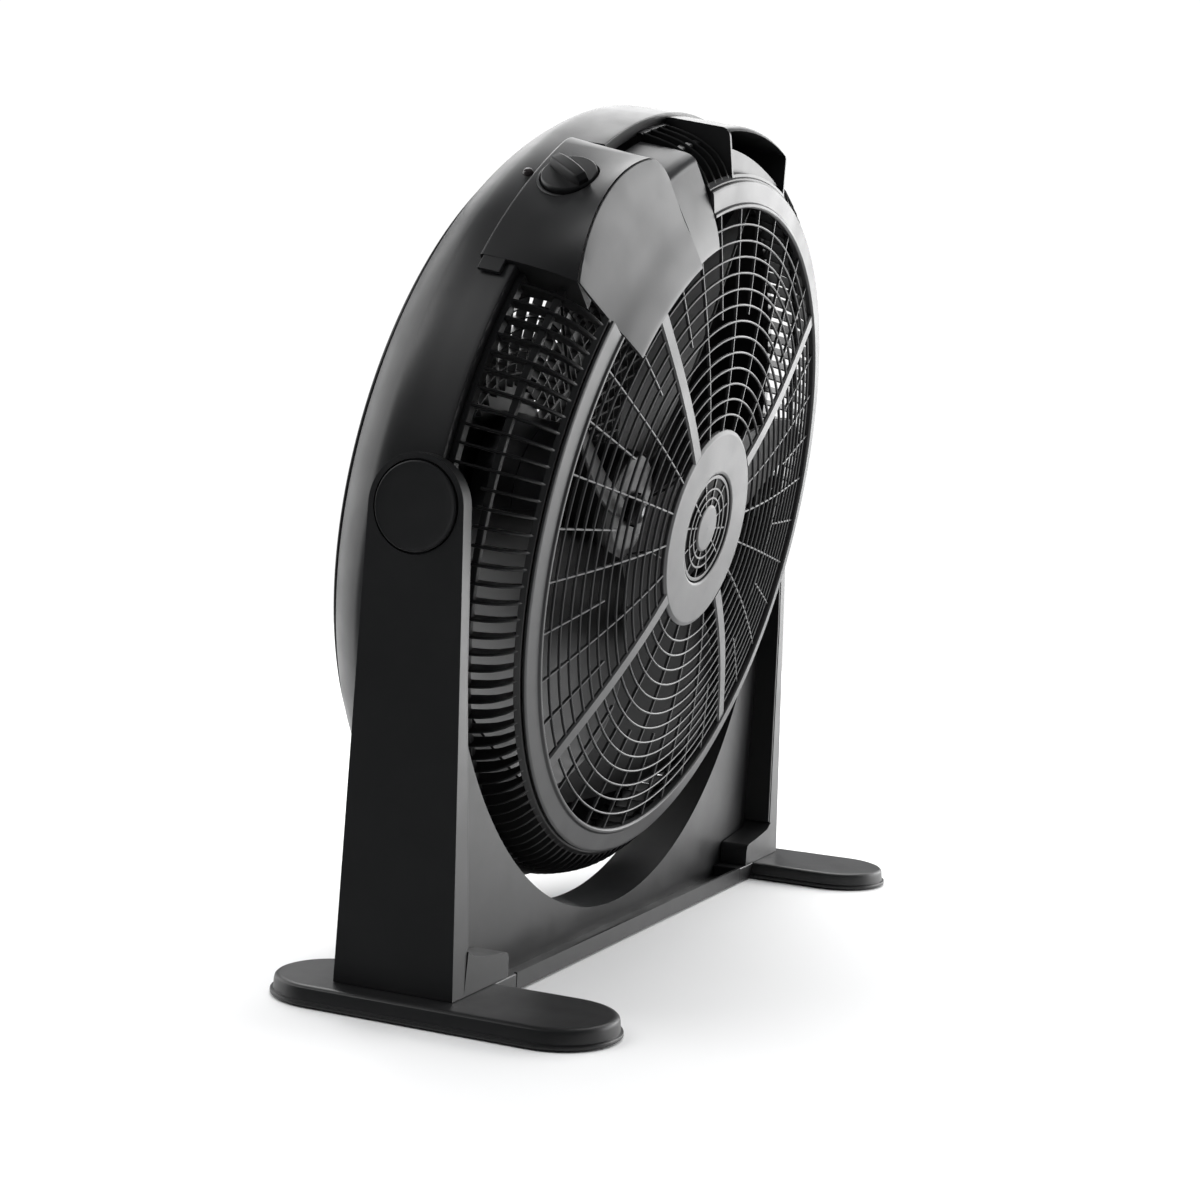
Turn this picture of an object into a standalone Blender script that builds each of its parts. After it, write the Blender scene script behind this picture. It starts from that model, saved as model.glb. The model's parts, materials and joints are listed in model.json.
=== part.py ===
"""Round floor fan on a two-post cradle stand.

X runs across, the front is towards -Y and the floor is at Z = 0.  The stand is
modelled about the tilt axis, and one empty moves it so that the origin lies
under the middle of the bounding box.  The head is modelled in its own fan frame:
x across, y up the face, z along the fan axis towards the front, with its origin
on the tilt axis.  A second empty carries that frame and a third one the knob.
"""
import math

import bmesh
import bpy
from mathutils import Matrix, Vector

# ---------------------------------------------------------------- dimensions
GAP = 0.0003                    # clearance between touching pieces
WALL = 0.0024                   # general moulded wall

PIVOT_Z = 0.2985                # tilt axis above the floor
PIVOT_Y = 0.0115                # tilt axis behind the middle of the bounding box
TILT_DEG = 9.74                 # how far the face looks down at rest

# head, radii and stations along the fan axis
RING_R = 0.2707                 # housing ring, outer
RING_FRONT = 0.0024
RING_REAR = -0.0725
BOX_R = 0.2740                  # control box skin
BOX_A0, BOX_A1 = 121.3, 147.0   # control box, degrees round the face
BOX_REAR, BOX_FRONT = -0.0220, 0.0360
BOX_FLOOR_R = 0.2385
STEP_A0 = 112.0                 # right-hand end of the front cover's step
HANDLE_A0, HANDLE_A1 = 77.5, 102.5
HANDLE_R = 0.2685
HANDLE_FRONT = 0.0490
HANDLE_FLOOR_R = 0.2368
RIM_R = 0.2350                  # front grille rim, outer and inner
RIM_INNER_R = 0.2175
RIM_Z = 0.0570
HUB_RING_R, HUB_HOLE_R = 0.0692, 0.0385
HUB_RING_Z = 0.0700
RING_COUNT = 13                 # wire pitch of the front guard
RING_PITCH = (RIM_INNER_R - HUB_RING_R) / (RING_COUNT + 1)
CAD_RINGS = (4, 9)              # the wires that the plain model keeps
COVER_TIP_R = 0.1990            # inner arc of the front cover
CAGE_BARS = 20
REAR_PLATE_Z = -0.0930          # motor plate, front face
REAR_PLATE_R = 0.0660
REAR_RING_IN, REAR_RING_R = 0.2255, 0.2395
REAR_SCREW_R = 0.2305
REAR_LIP_R = 0.2262             # inner edge of the housing ring's rear lip

MOTOR_R = 0.0460
SHAFT_R = 0.0040
BORE_R = SHAFT_R + GAP
BLADES = 5
BLADE_DEG = 4.0                 # where the first blade rests
BLADE_TIP_R = 0.2280
HUB_R = 0.0400

KNOB_DEG, KNOB_Z = 131.5, 0.0030
KNOB_R = 0.0160
COLLAR_R = 0.0186

# stand
POST_OUT = 0.2860               # outer face of a post
POST_IN_BASE, POST_IN_TOP = 0.2640, 0.2745
POST_SLOPE_TOP = 0.2000         # the inner face is upright above this height
POST_TOP_R = 0.0314
POST_FRONT, POST_REAR = -0.0410, 0.0390
FOOT_TOP = 0.0128
POST_BASE = FOOT_TOP + GAP
FOOT_X = 0.2660
FOOT_FRONT, FOOT_REAR = -0.1380, 0.0880
FOOT_HALF = 0.0400
FOOT_BASE = 0.0012
WEB_FRONT, WEB_REAR = -0.0183, -0.0158
CRADLE_BACK = 0.0200
ARCH_R, ARCH_Z = 0.2770, 0.2960
LIP_TOP = 0.0130
CRADLE_BASE = 0.0015
TAB_IN = 0.2000                 # the foot's tab meets the cradle's lip here
CAP_R = 0.0268
CAP_SEAT = POST_OUT - 0.0025    # floor of the recess that the pivot cap sits in
BOLT_SEAT = POST_IN_TOP + 0.0055    # under the pivot bolt's head
COVER_T = 0.0022                # thickness of a post's inner cover
SCREW_X = 0.2755                # screws from the feet up into the posts
TAB_SCREW_X, TAB_SCREW_Z = 0.2090, 0.0070

COLLECTION = "cradle_floor_fan"


# ---------------------------------------------------------------- scene set-up
for old in list(bpy.data.objects):
    bpy.data.objects.remove(old)

parts = bpy.data.collections.new(COLLECTION)
tools = bpy.data.collections.new("cutters")
bpy.context.scene.collection.children.link(parts)
bpy.context.scene.collection.children.link(tools)


def empty(name, location, rotation, parent=None):
    e = bpy.data.objects.new(name, None)
    e.empty_display_size = 0.05
    e.location = location
    e.rotation_euler = rotation
    e.parent = parent
    parts.objects.link(e)
    return e


stand_frame = empty("stand_frame", (0, PIVOT_Y, 0), (0, 0, 0))
fan_frame = empty("fan_frame", (0, 0, PIVOT_Z), (math.radians(90 + TILT_DEG), 0, 0), stand_frame)

knob_angle = math.radians(KNOB_DEG)
knob_frame = empty(
    "knob_frame",
    (BOX_R * math.cos(knob_angle), BOX_R * math.sin(knob_angle), KNOB_Z),
    (0, math.radians(90), 0),
    fan_frame,
)
knob_frame.rotation_euler = (
    Matrix.Rotation(knob_angle, 3, "Z") @ Matrix.Rotation(math.radians(90), 3, "Y")
).to_euler()


def finish_of(name, colour, roughness, metallic=0.0):
    m = bpy.data.materials.new(name)
    m.use_nodes = True
    shader = m.node_tree.nodes["Principled BSDF"]
    shader.inputs["Base Color"].default_value = (*colour, 1)
    shader.inputs["Roughness"].default_value = roughness
    shader.inputs["Metallic"].default_value = metallic
    m.diffuse_color = (*colour, 1)
    return m


CHARCOAL = ((0.020, 0.020, 0.021), 0.45)
GRAPHITE = ((0.030, 0.030, 0.031), 0.42)
BLACK = ((0.010, 0.010, 0.011), 0.5)
RUBBER = ((0.02, 0.02, 0.02), 0.9)
STEEL = ((0.55, 0.55, 0.56), 0.35, 1.0)
ALUMINIUM = ((0.12, 0.12, 0.125), 0.5, 1.0)
COPPER = ((0.65, 0.33, 0.16), 0.4, 1.0)
LENS = ((0.020, 0.016, 0.016), 0.25)


# ---------------------------------------------------------------- building blocks
def place(name, mesh, look=None, parent=None):
    """Puts a mesh in the scene: a sub-part when it has a look, a cutter when it has none."""
    o = bpy.data.objects.new(name, mesh)
    o.parent = parent or stand_frame
    if look is None:
        tools.objects.link(o)
        o.hide_render = True
        o.display_type = "WIRE"
    else:
        mesh.materials.append(finish_of(name, *look))
        parts.objects.link(o)
    return o


def mesh_from(bm, name, smooth=35):
    bmesh.ops.recalc_face_normals(bm, faces=bm.faces)
    mesh = bpy.data.meshes.new(name)
    bm.to_mesh(mesh)
    bm.free()
    mesh.shade_smooth()
    mesh.set_sharp_from_angle(angle=math.radians(smooth))
    return mesh


def block(name, low, high, look=None, parent=None):
    low, high = Vector(low), Vector(high)
    bm = bmesh.new()
    bmesh.ops.create_cube(bm, size=1)
    bmesh.ops.scale(bm, vec=high - low, verts=bm.verts)
    bmesh.ops.translate(bm, vec=(low + high) / 2, verts=bm.verts)
    return place(name, mesh_from(bm, name), look, parent)


def rod(name, radius, start, end, look=None, parent=None, sides=24, radius_end=None):
    """A cylinder, or a cone, from one point to another."""
    start, end = Vector(start), Vector(end)
    run = end - start
    bm = bmesh.new()
    bmesh.ops.create_cone(
        bm, cap_ends=True, segments=sides, radius1=radius,
        radius2=radius if radius_end is None else radius_end, depth=run.length,
    )
    turn = run.to_track_quat("Z", "Y").to_matrix().to_4x4()
    bmesh.ops.transform(bm, matrix=Matrix.Translation((start + end) / 2) @ turn, verts=bm.verts)
    return place(name, mesh_from(bm, name), look, parent)


def turned(name, profile, look=None, parent=None, steps=48):
    """A closed ring: a loop of (radius, z) points turned about z with a Screw modifier."""
    area = sum(a[0] * b[1] - b[0] * a[1] for a, b in zip(profile, profile[1:] + profile[:1]))
    loop = profile if area < 0 else profile[::-1]
    mesh = bpy.data.meshes.new(name)
    count = len(loop)
    mesh.from_pydata([(r, 0, z) for r, z in loop], [(i, (i + 1) % count) for i in range(count)], [])
    o = place(name, mesh, look, parent)
    turn = o.modifiers.new("turn", "SCREW")
    turn.axis = "Z"
    turn.angle = 2 * math.pi
    turn.steps = turn.render_steps = steps
    turn.use_merge_vertices = True
    turn.merge_threshold = 1e-5
    turn.use_smooth_shade = False
    return o


def tube(name, inner, outer, z0, z1, look=None, parent=None, steps=24):
    return turned(name, [(inner, z0), (inner, z1), (outer, z1), (outer, z0)], look, parent, steps)


def sector(name, profile, a0, a1, look=None, parent=None, step=3.0):
    """A closed (radius, z) outline swept about z from a0 to a1 degrees, with its ends capped."""
    bm = bmesh.new()
    start = math.radians(a0)
    corners = [bm.verts.new((r * math.cos(start), r * math.sin(start), z)) for r, z in profile]
    face = bm.faces.new(corners)
    steps = max(1, round((a1 - a0) / step))
    bmesh.ops.spin(
        bm, geom=[face, *face.edges, *face.verts], cent=(0, 0, 0), axis=(0, 0, 1),
        angle=math.radians(a1 - a0), steps=steps, use_duplicate=False,
    )
    return place(name, mesh_from(bm, name), look, parent)


def prism(name, outline, plane, low, high, look=None, parent=None):
    """A flat outline in XY, XZ or YZ pushed from low to high along the third axis."""
    put = {
        "XY": lambda a, b, c: (a, b, c),
        "XZ": lambda a, b, c: (a, c, b),
        "YZ": lambda a, b, c: (c, a, b),
    }[plane]
    bm = bmesh.new()
    face = bm.faces.new([bm.verts.new(put(a, b, low)) for a, b in outline])
    pushed = bmesh.ops.extrude_face_region(bm, geom=[face])
    moved = [g for g in pushed["geom"] if isinstance(g, bmesh.types.BMVert)]
    bmesh.ops.translate(bm, vec=Vector(put(0, 0, high - low)), verts=moved)
    return place(name, mesh_from(bm, name), look, parent)


def arc(cx, cy, radius, a0, a1, count):
    return [
        (
            cx + radius * math.cos(math.radians(a0 + (a1 - a0) * i / count)),
            cy + radius * math.sin(math.radians(a0 + (a1 - a0) * i / count)),
        )
        for i in range(count + 1)
    ]


def boolean(target, operation, *others):
    """Adds, removes or intersects the other solids, all of them cutters."""
    if len(others) > 1:
        group = bpy.data.collections.new(f"{target.name}_{operation.lower()}")
        tools.children.link(group)
        for o in others:
            tools.objects.unlink(o)
            group.objects.link(o)
    mod = target.modifiers.new(operation.lower(), "BOOLEAN")
    mod.operation = operation
    mod.solver = "EXACT"
    if len(others) > 1:
        mod.operand_type = "COLLECTION"
        mod.collection = group
    else:
        mod.object = others[0]
    return target


def join(target, *others):
    return boolean(target, "UNION", *others)


def cut(target, *others):
    for o in others:
        boolean(target, "DIFFERENCE", o)
    return target


def polar(radius, degrees, z=0.0):
    a = math.radians(degrees)
    return Vector((radius * math.cos(a), radius * math.sin(a), z))


def radial_block(name, degrees, r0, r1, half_width, z0, z1, look=None, parent=None):
    """A straight bar lying along a radius."""
    o = block(name, (r0, -half_width, z0), (r1, half_width, z1), look, parent)
    o.data.transform(Matrix.Rotation(math.radians(degrees), 4, "Z"))
    return o


# ---------------------------------------------------------------- stand
def inner_face(z):
    """X of a post's inner face at height z."""
    share = min(1.0, max(0.0, (z - POST_BASE) / (POST_SLOPE_TOP - POST_BASE)))
    return POST_IN_BASE + (POST_IN_TOP - POST_IN_BASE) * share


def mirrored(outline, side):
    return [(side * x, z) for x, z in outline]


def post_outline(inset=0.0):
    """Side view of a post, as (y, z)."""
    top = arc(0, PIVOT_Z, POST_TOP_R - inset, 0, 180, 14)
    base = POST_BASE + inset
    return [*top, (POST_FRONT + inset, base), (POST_REAR - inset, base)]


def stadium(x, half, front, rear):
    return [
        *arc(x, front + half, half, 180, 360, 10),
        *arc(x, rear - half, half, 0, 180, 10),
    ]


def make_foot(side, word):
    """Flat foot with a wider lip, a tab for the cradle, and pockets for pads and screws."""
    foot = prism(
        f"{word}_foot",
        stadium(side * FOOT_X, FOOT_HALF - 0.0020, FOOT_FRONT + 0.0020, FOOT_REAR - 0.0020),
        "XY", FOOT_BASE, FOOT_TOP, CHARCOAL,
    )
    soften = foot.modifiers.new("edge", "BEVEL")
    soften.width = 0.0022
    soften.segments = 1
    soften.limit_method = "ANGLE"
    soften.angle_limit = math.radians(50)
    lip = prism(
        f"{word}_foot_lip", stadium(side * FOOT_X, FOOT_HALF, FOOT_FRONT, FOOT_REAR),
        "XY", FOOT_BASE, FOOT_BASE + 0.0024,
    )
    x0, x1 = sorted((side * TAB_IN, side * (FOOT_X - 0.0300)))
    tab = block(
        f"{word}_foot_tab", (x0, POST_FRONT, CRADLE_BASE), (x1, WEB_FRONT - 0.0006, FOOT_TOP - 0.0002),
    )
    join(foot, lip, tab)
    for name, y in (("front", FOOT_FRONT + FOOT_HALF), ("rear", FOOT_REAR - FOOT_HALF)):
        x = side * FOOT_X
        cut(foot, rod(f"{word}_{name}_pocket", 0.0093, (x, y, -0.001), (x, y, 0.0027), sides=16))
        rod(f"{word}_{name}_pad", 0.0090, (x, y, 0), (x, y, 0.0024), RUBBER, sides=16)
    for name, y in (("front", -0.022), ("rear", 0.022)):
        x = side * SCREW_X
        head_hole = rod(f"{word}_{name}_head_hole", 0.0046, (x, y, -0.001), (x, y, 0.0062), sides=12)
        shank_hole = rod(f"{word}_{name}_shank_hole", 0.0024, (x, y, 0), (x, y, 0.02), sides=8)
        cut(foot, head_hole, shank_hole)
        screw(f"{word}_foot_screw_{name}", (x, y, 0.0058), (0, 0, 1), 0.0042, 0.0030, 0.0020, 0.0260)
    y = POST_FRONT
    holes = (("head", 0.0037, y - 0.001, y + 0.0040), ("shank", 0.0020, y, y + 0.03))
    for name, radius, start, end in holes:
        hole = rod(
            f"{word}_tab_{name}_hole", radius, (side * TAB_SCREW_X, start, TAB_SCREW_Z),
            (side * TAB_SCREW_X, end, TAB_SCREW_Z), sides=10,
        )
        cut(foot, hole)


def screw(name, seat, along, head_r, head_h, shank_r, length, parent=None):
    """A pan-head screw: seat is under its head, along points down its shank."""
    seat, along = Vector(seat), Vector(along)
    o = rod(name, head_r, seat - along * head_h, seat, STEEL, parent, sides=12)
    top, tip = seat - along * head_h * 0.5, seat + along * length
    shank = rod(f"{name}_shank", shank_r, top, tip, None, parent, sides=8)
    join(o, shank)
    return o


def slope_slab(name, side, offset, far):
    """What lies on the inner side of a post's sloping inner face, moved outwards by offset."""
    high = PIVOT_Z + 0.05
    outline = [
        (far, -0.01), (inner_face(0) + offset, -0.01), (inner_face(0) + offset, POST_BASE),
        (POST_IN_TOP + offset, POST_SLOPE_TOP), (POST_IN_TOP + offset, high), (far, high),
    ]
    return prism(name, mirrored(outline, side), "XZ", -0.06, 0.06)


def make_post(side, word):
    """A hollow post: an outer shell, and an inner cover that closes it."""
    low, high = sorted((side * 0.2500, side * POST_OUT))
    shell = prism(f"{word}_post_shell", post_outline(), "YZ", low, high, CHARCOAL)
    corner = shell.modifiers.new("edge", "BEVEL")
    corner.width = 0.0012
    corner.segments = 1
    corner.limit_method = "ANGLE"
    corner.angle_limit = math.radians(60)
    cut(shell, slope_slab(f"{word}_post_slope", side, COVER_T + GAP, 0.2400))
    low, high = sorted((side * 0.2400, side * (POST_OUT - WALL)))
    cut(shell, prism(f"{word}_post_hollow", post_outline(WALL), "YZ", low, high))

    pivot_boss = rod(
        f"{word}_post_boss", 0.0300, (side * (POST_IN_TOP + COVER_T + GAP), 0, PIVOT_Z),
        (side * (POST_OUT - 0.0010), 0, PIVOT_Z), sides=24,
    )
    bosses = [pivot_boss]
    for name, y in (("front", -0.022), ("rear", 0.022)):
        x0, x1 = sorted((side * 0.2700, side * (POST_OUT - 0.001)))
        bosses.append(block(f"{word}_{name}_boss", (x0, y - 0.0055, POST_BASE), (x1, y + 0.0055, 0.0360)))
    gusset = [
        (POST_IN_BASE - 0.0005, POST_BASE), (0.2130, POST_BASE), (0.2130, 0.0245),
        *arc(0.2190, 0.0235, 0.0060, 170, 110, 3), (0.2330, 0.0310), (0.2480, 0.0330),
        (0.2600, 0.0350), (inner_face(0.0395) + COVER_T + 2 * GAP, 0.0395),
        (inner_face(0.0395) + COVER_T + 0.0040, POST_BASE),
    ]
    bosses.append(
        prism(f"{word}_gusset", mirrored(gusset, side), "XZ", POST_FRONT, POST_FRONT + 0.0215)
    )
    join(shell, *bosses)
    cut(
        shell,
        rod(f"{word}_cap_recess", CAP_R + 0.0005, (side * CAP_SEAT, 0, PIVOT_Z),
            (side * 0.2900, 0, PIVOT_Z), sides=28),
        rod(f"{word}_bolt_recess", 0.0095, (side * BOLT_SEAT, 0, PIVOT_Z),
            (side * 0.2900, 0, PIVOT_Z), sides=16),
        rod(f"{word}_bolt_hole", BORE_R, (side * 0.2600, 0, PIVOT_Z),
            (side * 0.2900, 0, PIVOT_Z), sides=16),
    )
    for name, y in (("front", -0.022), ("rear", 0.022)):
        x = side * SCREW_X
        cut(shell, rod(f"{word}_{name}_thread", 0.0023, (x, y, 0), (x, y, 0.0340), sides=8))

    # the cover lies behind the gusset, so it stops short of the front there
    low, high = sorted((side * 0.2500, side * 0.2850))
    cover = prism(f"{word}_post_cover", post_outline(0.0004), "YZ", low, high, BLACK)
    cut(
        cover,
        slope_slab(f"{word}_cover_inside", side, 0.0, 0.2400),
        rod(f"{word}_cover_hole", BORE_R, (side * 0.2500, 0, PIVOT_Z),
            (side * 0.2900, 0, PIVOT_Z), sides=16),
    )
    boolean(cover, "INTERSECT", slope_slab(f"{word}_cover_outside", side, COVER_T, 0.2400))
    notch = [(POST_FRONT - 0.01, 0.0), (POST_FRONT + 0.0218, 0.0), (POST_FRONT + 0.0218, 0.0400),
             (POST_FRONT - 0.01, 0.0400)]
    cut(cover, prism(f"{word}_cover_notch", notch, "YZ", *sorted((side * 0.2500, side * 0.2900))))

    rod(f"{word}_pivot_cap", CAP_R, (side * (CAP_SEAT + GAP), 0, PIVOT_Z),
        (side * (POST_OUT + 0.0010), 0, PIVOT_Z), BLACK, sides=28)
    screw(f"{word}_pivot_bolt", (side * (BOLT_SEAT + GAP), 0, PIVOT_Z), (-side, 0, 0),
          0.0085, 0.0026, SHAFT_R, 0.0240)
    washer = tube(f"{word}_pivot_washer", BORE_R, 0.0120, RING_R + GAP, POST_IN_TOP - GAP, RUBBER, steps=16)
    washer.rotation_euler = (0, math.radians(90 * side), 0)
    washer.location = (0, 0, PIVOT_Z)


def make_cradle():
    """The panel between the posts: a web with a round cut-out, its deep edge, and a floor tray."""
    side_x = [(z, inner_face(z) - GAP) for z in (POST_BASE, POST_SLOPE_TOP, 0.2350)]
    horn_deg = math.degrees(math.asin((0.2350 - ARCH_Z) / ARCH_R))
    outline = [(-TAB_IN - 0.0250, POST_BASE), (-TAB_IN - 0.0250, CRADLE_BASE),
               (TAB_IN + 0.0250, CRADLE_BASE), (TAB_IN + 0.0250, POST_BASE)]
    outline += [(x, z) for z, x in side_x]
    outline += arc(0, ARCH_Z, ARCH_R, horn_deg, -180 - horn_deg, 30)
    outline += [(-x, z) for z, x in reversed(side_x)]
    web = prism("cradle_panel", outline, "XZ", WEB_FRONT, WEB_REAR, CHARCOAL)
    pieces = []
    band = arc(0, ARCH_Z, ARCH_R, horn_deg, -180 - horn_deg, 30)
    band += arc(0, ARCH_Z, ARCH_R + 0.0022, -180 - horn_deg, horn_deg, 30)
    pieces.append(prism("cradle_arch", band, "XZ", WEB_FRONT + 0.0004, CRADLE_BACK))
    for side in (-1, 1):
        edge = [(x, z) for z, x in side_x[:2]]
        edge.append((inner_face(0.2250) - GAP, 0.2250))
        edge += [(x - 0.0022, z) for x, z in reversed(edge)]
        pieces.append(
            prism(f"cradle_side_{side}", mirrored(edge, side), "XZ", WEB_FRONT + 0.0004, CRADLE_BACK)
        )
        boss_x = side * TAB_SCREW_X
        pieces.append(
            rod(f"cradle_boss_{side}", 0.0048, (boss_x, WEB_REAR - 0.001, TAB_SCREW_Z),
                (boss_x, WEB_REAR + 0.009, TAB_SCREW_Z), sides=12)
        )
    width = TAB_IN - GAP
    pieces.append(block("cradle_floor", (-width, POST_FRONT + 0.0004, CRADLE_BASE + 0.0006),
                        (width, CRADLE_BACK, CRADLE_BASE + 0.0026)))
    pieces.append(block("cradle_lip", (-width, POST_FRONT, CRADLE_BASE + 0.0003),
                        (width, POST_FRONT + 0.0022, LIP_TOP)))
    for i, x in enumerate((-0.1700, -0.0900, 0.0, 0.0900, 0.1700)):
        top = ARCH_Z - math.sqrt(ARCH_R**2 - x * x) - 0.0010
        pieces.append(block(f"cradle_rib_{i}", (x - 0.001, WEB_REAR - 0.001, CRADLE_BASE + 0.0010),
                            (x + 0.001, CRADLE_BACK - 0.0010, top)))
    join(web, *pieces)
    for side in (-1, 1):
        word = "left" if side < 0 else "right"
        cut(web, rod(f"{word}_cradle_thread", 0.0019, (side * TAB_SCREW_X, WEB_FRONT - 0.01, TAB_SCREW_Z),
                     (side * TAB_SCREW_X, WEB_REAR + 0.0075, TAB_SCREW_Z), sides=8))
        screw(f"{word}_cradle_screw", (side * TAB_SCREW_X, POST_FRONT + 0.0037, TAB_SCREW_Z), (0, 1, 0),
              0.0034, 0.0024, 0.0016, 0.0270)


# ---------------------------------------------------------------- head: covers and cages
def box_zone(name, margin, z0, z1, a0=BOX_A0, a1=BOX_A1, r0=BOX_FLOOR_R, r1=0.3):
    """The room that the control box takes, widened by a margin."""
    spread = math.degrees(margin / RING_R)
    profile = [(r0 - margin, z0), (r0 - margin, z1), (r1, z1), (r1, z0)]
    return sector(name, profile, a0 - spread, a1 + spread, None, fan_frame)


PIVOT_BLOCK = (0.2550, RING_R - 0.0002, 0.0160, -0.0280, 0.0140)   # x0, x1, half height, z0, z1


def pivot_zone(name, side, margin):
    x0, x1, half, z0, z1 = PIVOT_BLOCK
    low_x, high_x = sorted((side * (x0 - margin), side * 0.2900))
    low = (low_x, -half - margin, z0 - margin)
    high = (high_x, half + margin, z1 + margin)
    return block(name, low, high, None, fan_frame)


def make_housing_ring():
    outer = [
        (RING_R, RING_FRONT), (0.2696, -0.0350), (0.2640, -0.0480), (0.2490, -0.0670),
        (0.2360, RING_REAR), (REAR_LIP_R, RING_REAR),
    ]
    inner = [
        (REAR_LIP_R, RING_REAR + WALL), (0.2370, RING_REAR + WALL), (0.2478, -0.0646),
        (0.2618, -0.0470), (0.2672, -0.0345), (0.2680, -0.0004), (0.2620, -0.0004),
        (0.2620, RING_FRONT),
    ]
    ring = turned("housing_ring", outer + inner, CHARCOAL, fan_frame, 48)
    cut(ring, box_zone("ring_box_cut", GAP, BOX_REAR - GAP, 0.02))
    for side in (-1, 1):
        cut(ring, pivot_zone(f"ring_pivot_cut_{side}", side, GAP))
    for i in range(4):
        spot = polar(REAR_SCREW_R, 45 + 90 * i)
        low, high = spot + Vector((0, 0, -0.08)), spot + Vector((0, 0, -0.06))
        cut(ring, rod(f"ring_screw_hole_{i}", 0.0017, low, high, None, fan_frame, 10))


def make_pivot_block(side, word):
    """The boss on the head that turns on the pivot bolt."""
    x0, x1, half, z0, z1 = PIVOT_BLOCK
    outline = [(y, min(z, z1)) for z, y in arc(0, 0, half, 90, -90, 12)]
    outline += [(-half, z0), (half, z0)]
    low, high = sorted((side * x0, side * x1))
    o = prism(f"{word}_pivot_block", outline, "YZ", low, high, BLACK, fan_frame)
    cut(o, rod(f"{word}_pivot_bore", BORE_R, (side * 0.2500, 0, 0), (side * 0.2800, 0, 0), None, fan_frame))


def shoulder(z):
    """Outer radius of the side cage at z: a rounded shoulder from the ring down to the rim."""
    share = min(1.0, max(0.0, z / 0.0560))
    return 0.2650 - 0.0050 * share - 0.0235 * share**4


def make_side_cage():
    rear = [(0.2575, 0.0028), (shoulder(0.003), 0.0028), (shoulder(0.006), 0.0062), (0.2575, 0.0062)]
    cage = turned("side_cage", rear, BLACK, fan_frame, 36)
    front = [(0.2290, 0.0532), (0.2290, 0.0564), (0.2365, 0.0564), (0.2395, 0.0532)]
    pieces = [turned("cage_front_hoop", front, None, fan_frame, 36)]
    stations = (0.0040, 0.0300, 0.0550)
    for i in range(CAGE_BARS):
        angle = i * 360 / CAGE_BARS
        at_pivot = abs(math.sin(math.radians(angle))) < 0.07
        if at_pivot or HANDLE_A0 - 1 < angle < HANDLE_A1 + 1 or STEP_A0 - 1 < angle < BOX_A1 + 1:
            continue
        outer = [(shoulder(z) - 0.0004, z) for z in stations]
        inner = [(max(shoulder(z) - 0.0060, 0.2315), z) for z in reversed(stations)]
        half = math.degrees(0.0011 / 0.25)
        profile = outer + inner
        pieces.append(sector(f"cage_bar_{i}", profile, angle - half, angle + half, None, fan_frame, 9))
    join(cage, *pieces)
    cut(cage, box_zone("cage_box_cut", 0.0006, -0.03, 0.07, STEP_A0, BOX_A1, COVER_TIP_R))
    cut(cage, box_zone("cage_handle_cut", 0.0006, -0.03, 0.07, HANDLE_A0, HANDLE_A1, HANDLE_FLOOR_R))
    for side in (-1, 1):
        cut(cage, pivot_zone(f"cage_pivot_cut_{side}", side, 0.0006))


def dome(radius):
    """Z of the front guard's wires: the guard bulges gently towards its hub."""
    share = (RIM_INNER_R - radius) / (RIM_INNER_R - HUB_RING_R)
    return RIM_Z + 0.0020 + (HUB_RING_Z - RIM_Z) * math.sin(share * math.pi / 2)


def spoke(name, degrees, height, stations, half, thick):
    """A radial rib whose middle line follows height(radius) through the stations."""
    outline = [(r, height(r) + thick / 2) for r in stations]
    outline += [(r, height(r) - thick / 2) for r in reversed(stations)]
    o = prism(name, outline, "XZ", -half, half, None, fan_frame)
    o.data.transform(Matrix.Rotation(math.radians(degrees), 4, "Z"))
    return o


def wire(name, radius, z, half):
    """A square ring about the fan axis."""
    return tube(name, radius - half, radius + half, z - half, z + half, None, fan_frame, 28)


def make_front_grille():
    rim = [(RIM_R, RIM_Z), (RIM_R, RIM_Z + 0.0015), (0.2190, 0.0618),
           (RIM_INNER_R, 0.0606), (RIM_INNER_R, RIM_Z)]
    grille = turned("front_grille", rim, GRAPHITE, fan_frame, 48)
    hub = [(HUB_HOLE_R, HUB_RING_Z - 0.0005), (HUB_HOLE_R, 0.0735), (0.0670, 0.0735),
           (HUB_RING_R, 0.0722), (HUB_RING_R, HUB_RING_Z - 0.0005)]
    pieces = [turned("guard_hub", hub, None, fan_frame, 24)]
    for i in CAD_RINGS:
        r = HUB_RING_R + RING_PITCH * (i + 1)
        pieces.append(wire(f"guard_ring_{i}", r, dome(r), 0.0011))
    r0, r1 = HUB_RING_R - 0.0020, RIM_INNER_R + 0.0020
    for i in range(4):
        pieces.append(spoke(f"guard_wide_{i}", 45 + 90 * i, dome, (r0, (r0 + r1) / 2, r1), 0.0055, 0.0026))
    join(grille, *pieces)
    cut(grille, box_zone("grille_cover_cut", 0.0006, 0.04, 0.09, STEP_A0, BOX_A1, COVER_TIP_R))


def make_hub_insert():
    plate = rod("hub_insert", 0.0165, (0, 0, 0.0700), (0, 0, 0.0722), GRAPHITE, fan_frame, 20)
    pieces = [tube("insert_outer", 0.0355, HUB_HOLE_R - 0.0010, 0.0700, 0.0722, None, fan_frame, 20),
              tube("insert_middle", 0.0258, 0.0276, 0.0702, 0.0720, None, fan_frame, 20)]
    for i in range(4):
        pieces.append(radial_block(f"insert_spoke_{i}", 45 + 90 * i, 0.0150, 0.0362, 0.0010, 0.0704, 0.0718,
                                   None, fan_frame))
    join(plate, *pieces)


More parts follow.
